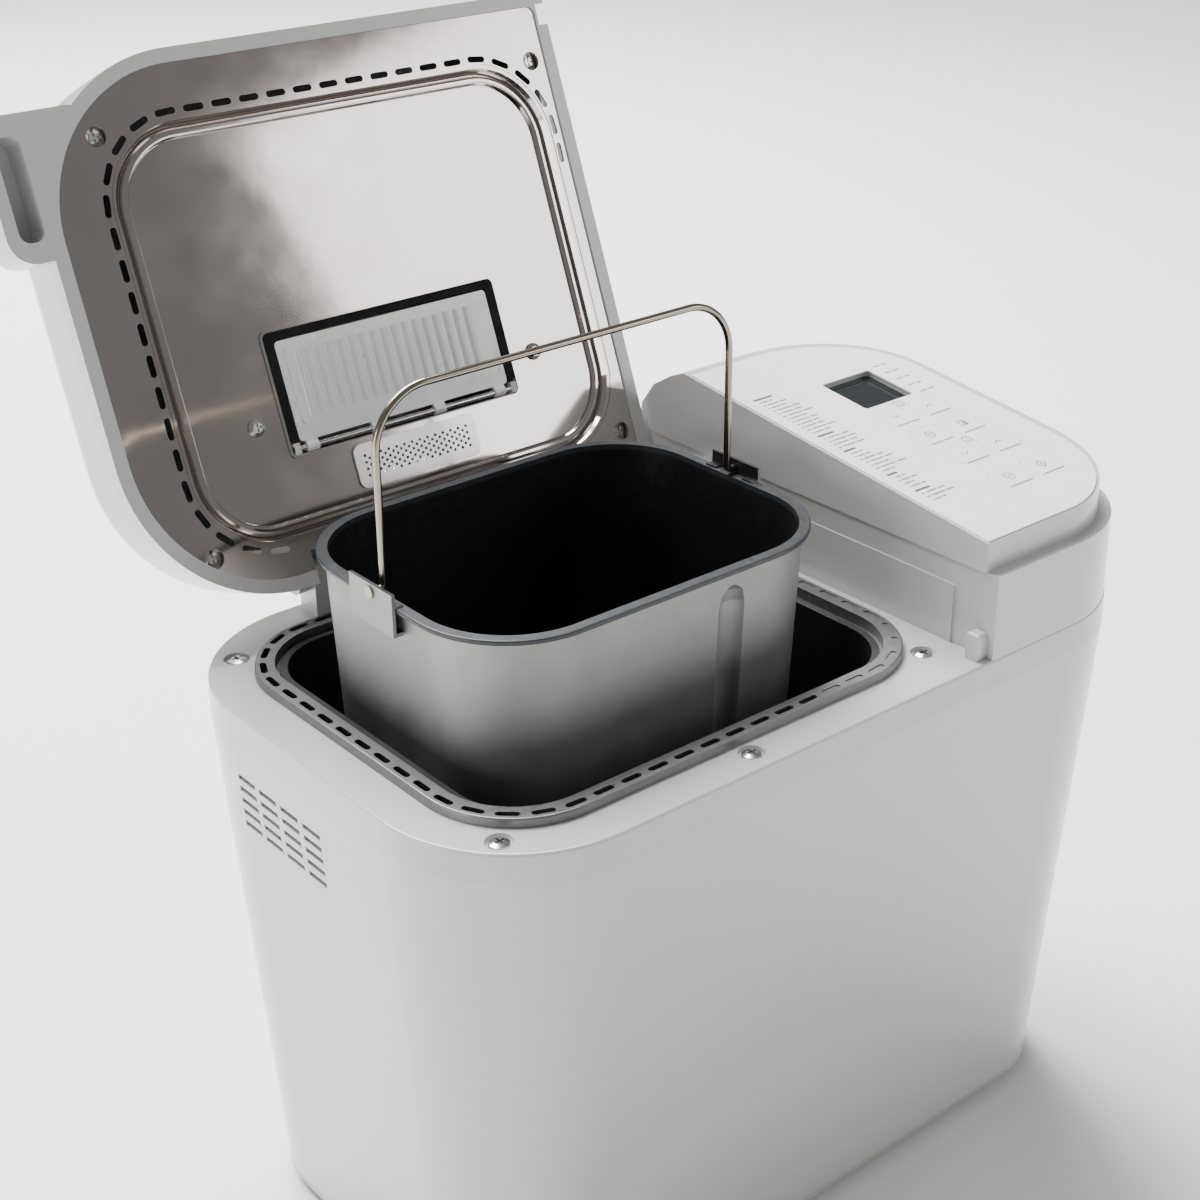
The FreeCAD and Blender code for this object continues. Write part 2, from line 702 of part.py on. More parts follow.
board_depth = -6.6
lcd_glass = panel_slab(-3.4, 1.2, Dims.screen_x, Dims.screen_y, screen_half_x + 3, screen_half_y + 3, 1)
lcd_carrier = panel_slab(-4.6, 2, Dims.screen_x, Dims.screen_y, screen_half_x + 4, screen_half_y + 4, 1)
node("lcd_window", panel_slab(-2.6, 0.8, Dims.screen_x, Dims.screen_y, screen_half_x + 2,
                              screen_half_y + 2, 1))
node("lcd_module", plus(lcd_glass, lcd_carrier))
board = panel_slab(board_depth, 1.6, Dims.key_column + 12, -20, 30, 80, 3)
domes = []
for name in KEYS:
    x, y = key_spot(name)
    domes.append(panel_slab(board_depth + 1.0, 1.2, x, y, 3, 3, 1))
node("display_board", plus(board, *domes))

# ---------------------------------------------------------------- chamber

ring_top = deck + Dims.ring_rise
ring_face = Dims.ring_width
ring_skirt = 1.6
liner_top = deck + 0.3


def chamber_slab(level, height, inset):
    """Rounded block concentric with the chamber ring, `inset` inside its outer edge."""
    return slab(level, height, Dims.ring_half_x - inset, Dims.ring_half_y - inset,
                Dims.ring_corner - inset, chamber)


ring_body = new_body()
ring_sections = [(deck, 0)] + round_over(ring_top, 0.2, 0.8)
loft(ring_body, [centred(ring_body, level, Dims.ring_half_x - inset, Dims.ring_half_y - inset,
                         Dims.ring_corner - inset, chamber) for level, inset in ring_sections])
ring_neck = chamber_slab(deck - 6, 8, 2.4)
ring_hollow = minus(chamber_slab(deck - 7, 9.2, 4), chamber_slab(deck - 8, 12, ring_face - ring_skirt))
ring_bore = chamber_slab(deck - 10, 20, ring_face)
shelf = minus(chamber_slab(deck - 2.8, 1.8, ring_face - ring_skirt),
              slab(deck - 4, 6, Dims.liner_half_x + 1.4, Dims.liner_half_y + 1.4,
                   Dims.liner_corner + 1.4, chamber))
slot_path = [(Dims.ring_half_x - Dims.slot_inset).value, (Dims.ring_half_y - Dims.slot_inset).value,
             (Dims.ring_corner - Dims.slot_inset).value]
FIRST_SLOT = 10.6
SLOT_COUNT = 58
all_slots = slot_places(*slot_path, FIRST_SLOT, SLOT_COUNT, Dims.slot_pitch.value)
middle = V(Dims.chamber_x.value, Dims.chamber_y.value, 0)
all_slots = [(spot + middle, way) for spot, way in all_slots]
OPEN_SLOTS = [index for index in range(SLOT_COUNT) if index < 22 or index > 47]
long_slot, wide_slot = Dims.slot_long.value, Dims.slot_wide.value
open_slots = slot_cutters([all_slots[i] for i in OPEN_SLOTS], long_slot, wide_slot,
                          deck.value - 8, 20)
blind_slots = slot_cutters([all_slots[i] for i in range(SLOT_COUNT) if i not in OPEN_SLOTS],
                           long_slot, wide_slot, ring_top.value - 0.5, 3)
ring_solid = minus(plus(ring_body, ring_neck), ring_bore, ring_hollow, open_slots, blind_slots)
node("chamber_ring", plus(ring_solid, shelf))


def liner_block(level, height, grow):
    return slab(level, height, Dims.liner_half_x + grow, Dims.liner_half_y + grow,
                Dims.liner_corner + grow, chamber)


liner_sheet = Dims.liner_wall
floor_level = Dims.chamber_floor
liner_outer = liner_block(floor_level - liner_sheet, liner_top - floor_level + liner_sheet, liner_sheet)
liner_flange = liner_block(liner_top - liner_sheet, liner_sheet, 3.6)
liner_room = liner_block(floor_level, liner_top - floor_level + 1, 0)
HEATER_LEVEL = 134
heater_y = (-18, 14)
chamber_right = Dims.chamber_x + Dims.liner_half_x
heater_ways = [rod(3.6, 12, chamber_right - 5, y, HEATER_LEVEL, (1, 0, 0)) for y in heater_y]
seat_way = rod(20, 8, *chamber, floor_level - 5)
SENSOR_X, SENSOR_LEVEL = -20, 170
chamber_back = Dims.chamber_y + Dims.liner_half_y
sensor_way = rod(4.2, 12, SENSOR_X, chamber_back - 5, SENSOR_LEVEL, (0, 1, 0))
node("oven_liner", minus(plus(liner_outer, liner_flange), liner_room, *heater_ways, seat_way,
                         sensor_way))

loop_x, loop_y = Dims.liner_half_x - 7.6, Dims.liner_half_y - 7.6
left_run, right_run = Dims.chamber_x - loop_x, Dims.chamber_x + loop_x
front_run, back_run = Dims.chamber_y - loop_y, Dims.chamber_y + loop_y
heater_points = [(chamber_right + 14, heater_y[0]), (right_run, heater_y[0]), (right_run, front_run),
                 (left_run, front_run), (left_run, back_run), (right_run, back_run),
                 (right_run, heater_y[1]), (chamber_right + 14, heater_y[1])]
heater_path = square_path("XY", heater_points, [8, 26, 26, 26, 26, 8], HEATER_LEVEL)
HEATER_RADIUS = 3.2
element = sweep(heater_path, HEATER_RADIUS,
                (heater_points[0][0], heater_points[0][1], HEATER_LEVEL), (1, 0, 0))
node("heater_element", element)

CLIP_SPOTS = [(-1, 0, -1, 34), (-1, 0, -1, -38), (0, 1, -95, 1), (0, 1, -10, 1), (0, -1, -95, -1),
              (0, -1, -10, -1)]
clips = []
for dx, dy, x, y in CLIP_SPOTS:
    if dx:
        inner = left_run - 1.5
        clips.append(box(Dims.chamber_x - Dims.liner_half_x, inner, y - 4, y + 4,
                         HEATER_LEVEL - 6, HEATER_LEVEL + 6))
    else:
        near = Dims.chamber_y + dy * Dims.liner_half_y
        far = Dims.chamber_y + dy * (loop_y + 1.5)
        low, high = (far, near) if dy > 0 else (near, far)
        clips.append(box(x - 4, x + 4, low, high, HEATER_LEVEL - 6, HEATER_LEVEL + 6))
node("heater_clips", group(*[minus(clip, element) for clip in clips]))

probe = turned([(0, -7), (2.6, -7), (3.4, -6), (3.4, 1), (6, 1), (6, 4), (2, 4), (2, 12), (0, 12)],
               axis=(0, 1, 0))
node("temperature_sensor", place(probe, SENSOR_X, chamber_back, SENSOR_LEVEL))

seat_floor = 3
seat_dish = turned([(9, -1), (20, -1), (20, 0), (62, 0), (62, 11), (58, 11), (57, seat_floor),
                    (14, seat_floor), (14, 6), (9, 6)], *chamber, floor_level)
lugs = [box(-4, 4, 57.2, 61, 9, 15.5), box(-4, 4, -61, -57.2, 9, 15.5),
        box(57.2, 61, -4, 4, 9, 15.5), box(-61, -57.2, -4, 4, 9, 15.5)]
lug_group = place(group(*lugs), *chamber, floor_level)
node("pan_seat", plus(seat_dish, lug_group))

# ---------------------------------------------------------------- drive

chassis_top = Dims.chassis_level + Dims.chassis_sheet
motor_spot = (Dims.motor_x, Dims.chamber_y)
plate = slab(Dims.chassis_level, Dims.chassis_sheet, 168, 94, 12, (4, -2))
shaft_way = rod(15, 6, *chamber, Dims.chassis_level - 2)
motor_way = rod(13, 6, *motor_spot, Dims.chassis_level - 2)
legs = [minus(rod(6, Dims.chassis_level - base_top + 1, x, y, base_top), rod(1.5, 8, x, y, base_top - 1))
        for x, y in BASE_SCREW_SPOTS]
CHAMBER_POSTS = [(x, y) for x in (-150, 36) for y in (-72, 68)]
posts = [rod(6, floor_level - liner_sheet - chassis_top + 1, x, y, chassis_top - 1)
         for x, y in CHAMBER_POSTS]
motor_pad = minus(box(Dims.motor_x - 42, Dims.motor_x + 42, -44, 40, chassis_top - 1, chassis_top + 4),
                  rod(30.2, 8, *motor_spot, chassis_top - 1))
node("drive_chassis", plus(minus(plate, shaft_way, motor_way), motor_pad, *legs, *posts))

housing_low = Dims.chassis_level - 8
node("bearing_housing", turned(
    [(9, 0), (14.9, 0), (14.9, 10), (26, 10), (26, 14), (15, 17), (13.5, 40), (13.5, 50.9), (9, 50.9)],
    *chamber, housing_low))
shaft = Dims.shaft_radius
bush_bore = shaft + 0.05
bush_low = turned([(bush_bore, 0), (8.98, 0), (8.98, 14), (bush_bore, 14)], *chamber, housing_low + 1)
bush_high = turned([(bush_bore, 0), (8.98, 0), (8.98, 14), (bush_bore, 14)], *chamber, housing_low + 36)
node("shaft_bushes", group(bush_low, bush_high))

node("drive_shaft", turned([(0, 26), (shaft, 26), (shaft, 113), (shaft - 1, 113.6), (0, 113.6)],
                           *chamber, 0))
big, small = Dims.big_pulley, Dims.small_pulley
BELT_HALF = 5
pulley_disc = turned(
    [(shaft, -8), (10, -8), (10, -3), (big - 10, -3), (big - 6, -6), (big + 3, -7), (big + 3, -6),
     (big, -BELT_HALF - 0.6), (big, BELT_HALF + 0.6), (big + 3, 6.4), (big + 3, 7.4), (big - 6, 6.4),
     (big - 10, 3), (10, 3), (10, 8), (shaft, 8)], *chamber, Dims.belt_level)
windows = [rod(9, 12, chamber[0] + 31 * math.cos(math.radians(a)),
               chamber[1] + 31 * math.sin(math.radians(a)), Dims.belt_level - 6)
           for a in range(0, 360, 60)]
node("chamber_pulley", minus(pulley_disc, *windows))
motor_shaft_profile = [(0, -10), (4, -10), (4, -8), (small + 2.5, -8), (small + 2.5, -7),
                       (small, -BELT_HALF - 0.6), (small, BELT_HALF + 0.6), (small + 2.5, 6.8),
                       (small + 2.5, 8), (7, 8), (7, 12), (4, 12), (4, 26.4), (0, 26.4)]
node("motor_pulley", turned(motor_shaft_profile, *motor_spot, Dims.belt_level))

span = Dims.motor_x.value - Dims.chamber_x.value


def belt_loop(extra):
    """Face inside a loop that runs round both pulleys, `extra` outside their belt radii."""
    large, little = big.value + extra, small.value + extra
    lean = math.asin((large - little) / span)
    reach_x, reach_y = math.sin(lean), math.cos(lean)
    left, right = V(0, 0, 0), V(span, 0, 0)
    upper = [left + V(reach_x, reach_y, 0) * large, right + V(reach_x, reach_y, 0) * little]
    lower = [V(point.x, -point.y, 0) for point in upper]
    edges = [Part.LineSegment(upper[0], upper[1]).toShape(),
             Part.Arc(upper[1], right + V(little, 0, 0), lower[1]).toShape(),
             Part.LineSegment(lower[1], lower[0]).toShape(),
             Part.Arc(lower[0], left - V(large, 0, 0), upper[0]).toShape()]
    return Part.Face(Part.Wire(edges))


belt = doc.addObject("Part::Feature", "Belt")
belt.Shape = belt_loop(gap.value + 1.6).cut(belt_loop(gap.value)).extrude(V(0, 0, 2 * BELT_HALF))
node("drive_belt", place(belt, *chamber, Dims.belt_level - BELT_HALF))

node("motor", turned(
    [(4.1, 0), (9, 0), (9, 4), (30, 4), (34, 7), (34, 14), (38, 14), (38, 52), (34, 52), (34, 60),
     (28, 66), (9, 66), (9, 72), (0, 72), (0, 27), (4.1, 27)], *motor_spot, chassis_top))
node("motor_capacitor", plus(rod(14, 46, 148, 74, chassis_top + 2),
                             rod(15.5, 2, 148, 74, chassis_top)))

coupling_bar = box(-18, 18, -3.5, 3.5, 114.6, 120)
coupling_hub = rod(8, 6.4, 0, 0, 113.6)
node("drive_coupling", place(plus(coupling_bar, coupling_hub), *chamber, 0))

shield_x = chamber_right + 11
shield = plus(box(shield_x, shield_x + 1, -96, 92, chassis_top, 258),
              box(shield_x, shield_x + 12, -96, 92, chassis_top, chassis_top + 1))
node("heat_shield", minus(shield, *[rod(4.5, 8, shield_x - 3, y, HEATER_LEVEL, (1, 0, 0))
                                    for y in heater_y]))

power_card = box(178, 179.6, -60, 60, 92, 196)
card_parts = [box(160, 178, -40, -18, 120, 146), box(164, 178, -8, 14, 116, 136),
              rod(9, 22, 156, 34, 130, (1, 0, 0)), box(170, 178, -46, 44, 164, 174)]
card_foot = box(172, 186, -60, 60, 88, 92)
node("power_board", plus(power_card, *card_parts, card_foot))

# ---------------------------------------------------------------- lid, drawn closed

rim_level = deck + Dims.lid_gap
plate_level = deck + Dims.plate_rise
dish_level = plate_level + Dims.dish_depth
frame_top = deck + 13
crown = deck + 57.5
hinge_y, hinge_z = Dims.hinge_y, deck + Dims.hinge_rise
steel = Dims.sheet_steel
lid_cos, lid_sin = turn("cos", Dims.lid_open_angle), turn("sin", Dims.lid_open_angle)


def lid_outline(body, level, inset, tower_side=None):
    """Lid shape in plan: broad corners on the open side, tight ones beside the tower."""
    side = inset if tower_side is None else tower_side
    bend = Dims.lid_corner - inset
    return outline(body, level, Dims.lid_left + inset, Dims.lid_right - side, Dims.lid_front + inset,
                   Dims.lid_back - inset, [bend, 4, 4, bend])


def lid_slab(level, height, inset):
    body = new_body()
    pad(body, lid_outline(body, level, inset), height)
    return body


def open_lid(thing, name):
    """Swing a piece that was drawn closed up to where the open lid holds it."""
    thing.Placement.Rotation = FreeCAD.Rotation(V(-1, 0, 0), 90)
    bind(thing, Placement__Rotation__Angle=Dims.lid_open_angle)
    place(thing, 0, hinge_y - hinge_y * lid_cos - hinge_z * lid_sin,
          hinge_z + hinge_y * lid_sin - hinge_z * lid_cos)
    return node(name, thing)


def across(x0, x1):
    """Span in X given from the chamber's middle."""
    return Dims.chamber_x + x0, Dims.chamber_x + x1


def chamber_box(x0, x1, y0, y1, z0, z1):
    """Box placed from the chamber's middle in plan."""
    return box(*across(x0, x1), Dims.chamber_y + y0, Dims.chamber_y + y1, z0, z1)


def chamber_plate(level, height, x0, x1, y0, y1, corner):
    body = new_body()
    left, right = across(x0, x1)
    pad(body, outline(body, level, left, right, Dims.chamber_y + y0, Dims.chamber_y + y1,
                      [corner] * 4), height)
    return body


BRACKETS = [(-70, -30), (30, 70)]
RIM_SCREWS = [(-118.6, 94.8), (-118.6, -94.8), (118.6, 94.8), (118.6, -94.8)]
bracket_half = 7
pin_radius = 3
notches = [chamber_box(x0 - 1.5, x1 + 1.5, 104.2, 140, deck - 5, hinge_z + 13) for x0, x1 in BRACKETS]
post_notch = box(tower_left - 8.4, tower_left + 2, -123.6, -113.4, deck - 5, deck + 15)
finger_slot = chamber_plate(rim_level - 2, 18, -165, -153.2, -101, -56, 5)

knuckles = []
knuckle_room = []
for x0, x1 in BRACKETS:
    for left, right in ((x0 - 8, x0 - 1.5), (x1 + 1.5, x1 + 8)):
        start = Dims.chamber_x + left
        web = box(start, Dims.chamber_x + right, hinge_y - bracket_half, hinge_y + 1,
                  plate_level + 2, hinge_z)
        knuckles.append(plus(web, rod(bracket_half, right - left, start, hinge_y, hinge_z, (1, 0, 0))))
        knuckle_room.append(box(start, Dims.chamber_x + right, hinge_y - bracket_half - 0.4,
                                hinge_y + 12, deck, hinge_z + bracket_half + 0.4))
pin_bores = [rod(pin_radius + 0.05, x1 - x0 + 20, Dims.chamber_x + x0 - 10, hinge_y, hinge_z, (1, 0, 0))
             for x0, x1 in BRACKETS]
frame_window = new_body()
pad(frame_window, outline(frame_window, rim_level, Dims.lid_left + 14, Dims.lid_right - 14,
                          Dims.lid_front + 14, Dims.lid_back - 22.4, [61, 4, 4, 50]), 20)
lid_ring = minus(lid_slab(rim_level, frame_top - rim_level, 0),
                 lid_slab(rim_level - 1, plate_level + steel - rim_level + 1, Dims.lid_lip),
                 frame_window, *notches, post_notch,
                 *[rod(7.4, 12, Dims.chamber_x + x, Dims.chamber_y + y, plate_level) for x, y in RIM_SCREWS])
open_lid(minus(plus(lid_ring, *knuckles), *pin_bores), "lid_frame")

# rise over the deck, inset all round and inset on the tower side, up the rounded edge to the crown
COVER_SECTIONS = [(37, 0.9, 0.3), (40.4, 1.6, 0.5), (43.6, 2.8, 0.8), (46.4, 4.6, 1.1), (48.8, 7, 1.7),
                  (50.8, 10, 2.6), (52.4, 13.6, 3.9), (53.8, 17.8, 5.5), (54.9, 22.4, 7.4),
                  (55.8, 27, 9.4), (56.5, 31.5, 11.3), (57.05, 36.5, 13.4), (57.5, 42, 16)]


def lid_dome(start, thick):
    body = new_body()
    sections = [lid_outline(body, start, thick)]
    for rise, inset, side in COVER_SECTIONS:
        sections.append(lid_outline(body, deck + rise - thick, inset + thick, side + thick))
    loft(body, sections)
    return body


BIN = (-66.5, 66.5, 2, 63)
bin_hole = chamber_box(BIN[0], BIN[1], BIN[2], BIN[3], frame_top, crown + 5)
steam_slots = [chamber_plate(crown - 6, 10, x - 1.3, x + 1.3, 82, 98, 1.2) for x in range(-30, 31, 6)]
bin_ears = [chamber_plate(crown - 3, 8.2, x, x + 5, 67.5, 74.5, 1) for x in (-66, 61)]
BIN_HINGE = (Dims.chamber_y + 71, crown + 2.5)
bin_bore = rod(1.3, 160, Dims.chamber_x - 80, *BIN_HINGE, (1, 0, 0))
cover = minus(lid_dome(frame_top, 0), lid_dome(frame_top - 1, wall), *notches, post_notch,
              *knuckle_room, bin_hole, *steam_slots)
open_lid(minus(plus(cover, *bin_ears), bin_bore), "lid_cover")

grip_body = chamber_plate(rim_level, 22, -171, -118, -110, -47, 12)
open_lid(minus(grip_body, lid_slab(rim_level - 1, frame_top - rim_level + 1, 0),
               lid_dome(frame_top, 0), finger_slot), "lid_grip")

# lid plate: flat steam-slotted rim, pressed middle, bin window, vent window
dish_half_x, dish_half_y, dish_corner = 118.5, 96, 37.4
dish_slope = 2.5


def dish_section(body, level, grow):
    return centred(body, level, dish_half_x + grow, dish_half_y + grow, dish_corner + grow, chamber)


dish_outer = new_body()
loft(dish_outer, [dish_section(dish_outer, plate_level, steel),
                  dish_section(dish_outer, dish_level + steel, steel - dish_slope)])
dish_inner = new_body()
loft(dish_inner, [dish_section(dish_inner, plate_level - 0.1, 0),
                  dish_section(dish_inner, dish_level, -dish_slope)])

# pressed bead that follows the dish's foot, and the fine groove outside its wall
bead_outside, bead_inside = new_body(), new_body()
loft(bead_outside, [dish_section(bead_outside, dish_level + rise, grow) for rise, grow in
                    ((0.3, -2.7), (-1, -2.9), (-1.8, -3.6), (-2.2, -4.6))])
loft(bead_inside, [dish_section(bead_inside, dish_level + rise, grow) for rise, grow in
                   ((0.4, -7.7), (-1, -7.3), (-1.8, -6.6), (-2.3, -5.6))])
groove_outside, groove_inside = new_body(), new_body()
pad(groove_outside, dish_section(groove_outside, plate_level - 1, 2.1), 1.35)
pad(groove_inside, dish_section(groove_inside, plate_level - 1, 1.4), 1.35)
WINDOW = (-65.2, 65.2, 3.6, 61.5)
VENT = (-33.5, 33.5, 65.6, 83.6)
LID_SLOTS = list(range(53, 58)) + list(range(0, 30))
plate_slots = slot_cutters([all_slots[i] for i in LID_SLOTS], long_slot, wide_slot,
                           plate_level.value - 2, 8)
DISH_SCREWS = [(-79.7, 43.9), (79.7, 43.9)]
rim_holes = [rod(4.6, 6, Dims.chamber_x + x, Dims.chamber_y + y, plate_level - 2) for x, y in RIM_SCREWS]
dish_holes = [rod(1.6, 8, Dims.chamber_x + x, Dims.chamber_y + y, plate_level) for x, y in DISH_SCREWS]
cups = [turned([(4.6, 0.2), (6.8, 0.2), (6.8, 1.4), (5.3, 1.4), (5.3, 4.8), (1.6, 4.8), (1.6, 4), (4.6, 4)],
               Dims.chamber_x + x, Dims.chamber_y + y, plate_level) for x, y in RIM_SCREWS]
plate_body = plus(lid_slab(plate_level, steel, Dims.lid_lip + 0.2), dish_outer)
window_lip = chamber_plate(dish_level - 0.8, 1, WINDOW[0] - 1.3, WINDOW[1] + 1.3, WINDOW[2] - 1.3,
                           WINDOW[3] + 1.3, 4.3)
dished_plate = plus(minus(plate_body, dish_inner), minus(bead_outside, bead_inside), window_lip)
pressed_plate = minus(dished_plate, minus(groove_outside, groove_inside), *notches, post_notch, plate_slots,
                      *rim_holes, *dish_holes,
                      chamber_plate(plate_level, 9, *WINDOW, 3), chamber_plate(plate_level, 9, *VENT, 3))
open_lid(plus(pressed_plate, *cups), "lid_inner_plate")

LID_SCREW = [(0, -1.8), (2.2, -1.8), (3.9, -0.9), (4.1, 0), (1.5, 0), (1.5, 6), (0, 6)]
SMALL_SCREW = [(0, -2), (2.4, -2), (4.1, -1.1), (4.3, 0), (1.5, 0), (1.5, 6), (0, 6)]


def blades_below(x, y, z):
    return [box(x - 2.2, x + 2.2, y - 0.45, y + 0.45, z - 3, z),
            box(x - 0.45, x + 0.45, y - 2.2, y + 2.2, z - 3, z)]


lid_screws = []
for spots, profile, level in ((RIM_SCREWS, LID_SCREW, plate_level + 4),
                              (DISH_SCREWS, SMALL_SCREW, dish_level)):
    for x, y in spots:
        x, y = Dims.chamber_x + x, Dims.chamber_y + y
        lid_screws.append(minus(turned(profile, x, y, level), *blades_below(x, y, level - 1)))
open_lid(group(*lid_screws), "lid_screws")

grille_level = dish_level - 1.2
grille = minus(chamber_plate(grille_level, 1.2, VENT[0] - 1.4, VENT[1] + 1.4, VENT[2] - 1.4, VENT[3] + 1.4, 4),
               chamber_plate(grille_level + 0.6, 2, VENT[0] + 1, VENT[1] - 1, VENT[2] + 1, VENT[3] - 1, 2))
holes = []
for column in range(27):
    x = -29.25 + 2.25 * column
    for row in range(4 - column % 2):
        y = 69.8 + 3.2 * row + 1.6 * (column % 2)
        holes.append(rod(0.75, 4, Dims.chamber_x + x, Dims.chamber_y + y, grille_level - 1))
open_lid(minus(grille, *holes), "steam_grille")

# ingredient bin with its flap, latch and outer door
FLAP = (-59.8, 59.8, 8.4, 55.4)
FLAP_HINGE = (Dims.chamber_y + 58.4, dish_level + 0.2)
bin_top = crown
bin_shell = minus(chamber_box(*BIN, dish_level + steel + 0.2, bin_top),
                  chamber_box(BIN[0] + 2, BIN[1] - 2, BIN[2] + 2, BIN[3] - 2, dish_level, bin_top + 1))
pin_blocks = [chamber_box(x, x + 3, 55.5, 60.6, dish_level - 1.6, dish_level + 3) for x in (-64, 61)]
pin_blocks += [chamber_box(x, x + 4.5, 55.5, 61.4, dish_level + 1, dish_level + 3) for x in (-65.1, 60.6)]
flap_bore = rod(1.55, 140, Dims.chamber_x - 70, *FLAP_HINGE, (1, 0, 0))
latch_bore = rod(2.3, 8, Dims.chamber_x + 62, Dims.chamber_y + 30, dish_level + 5, (1, 0, 0))
open_lid(minus(plus(bin_shell, *pin_blocks), flap_bore, latch_bore), "dispenser_bin")

seal_band = minus(chamber_plate(dish_level - 0.6, 1.6, WINDOW[0] + 0.3, WINDOW[1] - 0.3,
                                WINDOW[2] + 0.3, 54.8, 2.7),
                  chamber_box(FLAP[0] - 0.7, FLAP[1] + 0.7, FLAP[2] - 0.7, 60, dish_level - 2, dish_level + 4))
open_lid(seal_band, "dispenser_seal")

flap_sheet = chamber_plate(dish_level - 0.6, 1.1, *FLAP, 2)
flap_panel = chamber_plate(dish_level - 1.3, 1.2, FLAP[0] + 4, FLAP[1] - 3, FLAP[2] + 2.6, FLAP[3] - 7, 3)
ribs = [rod(1.9, FLAP[3] - FLAP[2] - 16, Dims.chamber_x + x, Dims.chamber_y + FLAP[2] + 5.6, dish_level - 0.7,
            (0, 1, 0)) for x in range(-50, 52, 6)]
ribs += [rod(1.1, 1, Dims.chamber_x + x, Dims.chamber_y + y, dish_level - 1.2)
         for x in (-57.8, 57.8) for y in (14, 25, 36, 47)]
clips = []
for x in (-54, -18, 18, 54):
    clips.append(chamber_box(x - 3, x + 3, 54.6, 58.4, dish_level - 1, dish_level + 1.6))
    clips.append(rod(2.3, 6, Dims.chamber_x + x - 3, *FLAP_HINGE, (1, 0, 0)))
latch_tab = minus(chamber_box(58.2, FLAP[1], 26, 34, dish_level, dish_level + 9),
                  rod(2.4, 6, Dims.chamber_x + 56, Dims.chamber_y + 30, dish_level + 5, (1, 0, 0)))
flap_pin_way = rod(1.55, 140, Dims.chamber_x - 70, *FLAP_HINGE, (1, 0, 0))
open_lid(minus(plus(flap_sheet, flap_panel, *ribs, *clips, latch_tab), flap_pin_way), "dispenser_flap")
open_lid(group(rod(1.5, 128, Dims.chamber_x - 64, *FLAP_HINGE, (1, 0, 0))), "flap_pin")

open_lid(plus(chamber_box(72, 98, 18, 42, frame_top, frame_top + 20),
              chamber_box(66.6, 72, 34.5, 38, frame_top, frame_top + 12)), "flap_solenoid")
latch = rod(2, 11, Dims.chamber_x + 61, Dims.chamber_y + 30, dish_level + 5, (1, 0, 0))
open_lid(group(latch), "latch_plunger")

door = chamber_plate(crown + 0.3, 3.2, -72, 72, -3, 66, 8)
door_barrel = rod(2.1, 121, Dims.chamber_x - 60.5, *BIN_HINGE, (1, 0, 0))
door_pin = rod(1.25, 131, Dims.chamber_x - 65.5, *BIN_HINGE, (1, 0, 0))
door_neck = chamber_box(-60.5, 60.5, 63, 71, crown + 0.4, crown + 2.6)
door_seal = minus(chamber_box(-63, 63, 5, 60, crown - 2, crown + 0.4),
                  chamber_box(-60, 60, 8, 57, crown - 3, crown + 0.3))
open_lid(plus(door, door_seal, door_barrel, door_neck, door_pin), "dispenser_door")

brackets = []
for x0, x1 in BRACKETS:
    left, right = across(x0, x1)
    post = box(left, right, hinge_y - bracket_half, hinge_y + bracket_half, deck, hinge_z)
    brackets.append(minus(plus(post, rod(bracket_half, x1 - x0, left, hinge_y, hinge_z, (1, 0, 0))),
                          rod(pin_radius, x1 - x0 + 2, left - 1, hinge_y, hinge_z, (1, 0, 0))))
node("hinge_brackets", group(*brackets))
node("hinge_pins", group(*[rod(pin_radius, x1 - x0 + 16, Dims.chamber_x + x0 - 8, hinge_y, hinge_z, (1, 0, 0))
                           for x0, x1 in BRACKETS]))

# ---------------------------------------------------------------- pan, lifted

pan_x = Dims.chamber_x + Dims.pan_shift_x
pan_y = Dims.chamber_y + Dims.pan_shift_y
pan_rim = deck + Dims.pan_rise
pan_base = pan_rim - Dims.pan_height
pan_spot = (pan_x, pan_y)


def pan_loft(thick):
    """Tapered pan block with a rounded base, `thick` inside the outer skin."""
    body = new_body()
    sections = round_under(pan_base + thick, Dims.pan_taper, 9) + [(pan_rim + thick, 0)]
    loft(body, [centred(body, level, Dims.pan_half_x - inset - thick, Dims.pan_half_y - inset - thick,
                        Dims.pan_corner - inset - thick, pan_spot) for level, inset in sections])
    return body


def pan_slab(level, height, inset):
    return slab(level, height, Dims.pan_half_x - inset, Dims.pan_half_y - inset,
                Dims.pan_corner - inset, pan_spot)


skin = Dims.pan_wall
FLUTE_X = 31
flute_y = pan_y - Dims.pan_half_y
flute_cut = turned([(0, 12), (6, 13), (9.6, 17), (11, 22), (9.6, 60), (8.7, 100), (8.4, 113), (7, 119),
                    (3.4, 123), (0, 124)], pan_x + FLUTE_X, flute_y - 3, pan_base)
flute_bump = turned([(0, 14), (12.9, 14), (10.3, 110), (10.2, 126), (0, 126)],
                    pan_x + FLUTE_X, flute_y - 3, pan_base)
pan_outer = minus(pan_loft(0), pan_slab(pan_rim, 5, -10))
pan_bowl = minus(pan_outer, minus(pan_loft(skin), flute_bump), flute_cut)
lip_body = new_body()
lip_sections = [(pan_rim - 2.4, -2.9), (pan_rim - 1.8, -Dims.pan_lip)] + round_over(
    pan_rim, -Dims.pan_lip, 0.7, 2)
loft(lip_body, [centred(lip_body, level, Dims.pan_half_x - inset, Dims.pan_half_y - inset,
                        Dims.pan_corner - inset, pan_spot) for level, inset in lip_sections])
pan_lip = minus(lip_body, pan_slab(pan_rim - 5, 10, skin / 2))
node("pan_body", minus(plus(pan_bowl, pan_lip), rod(9, 12, *pan_spot, pan_base - 5)))

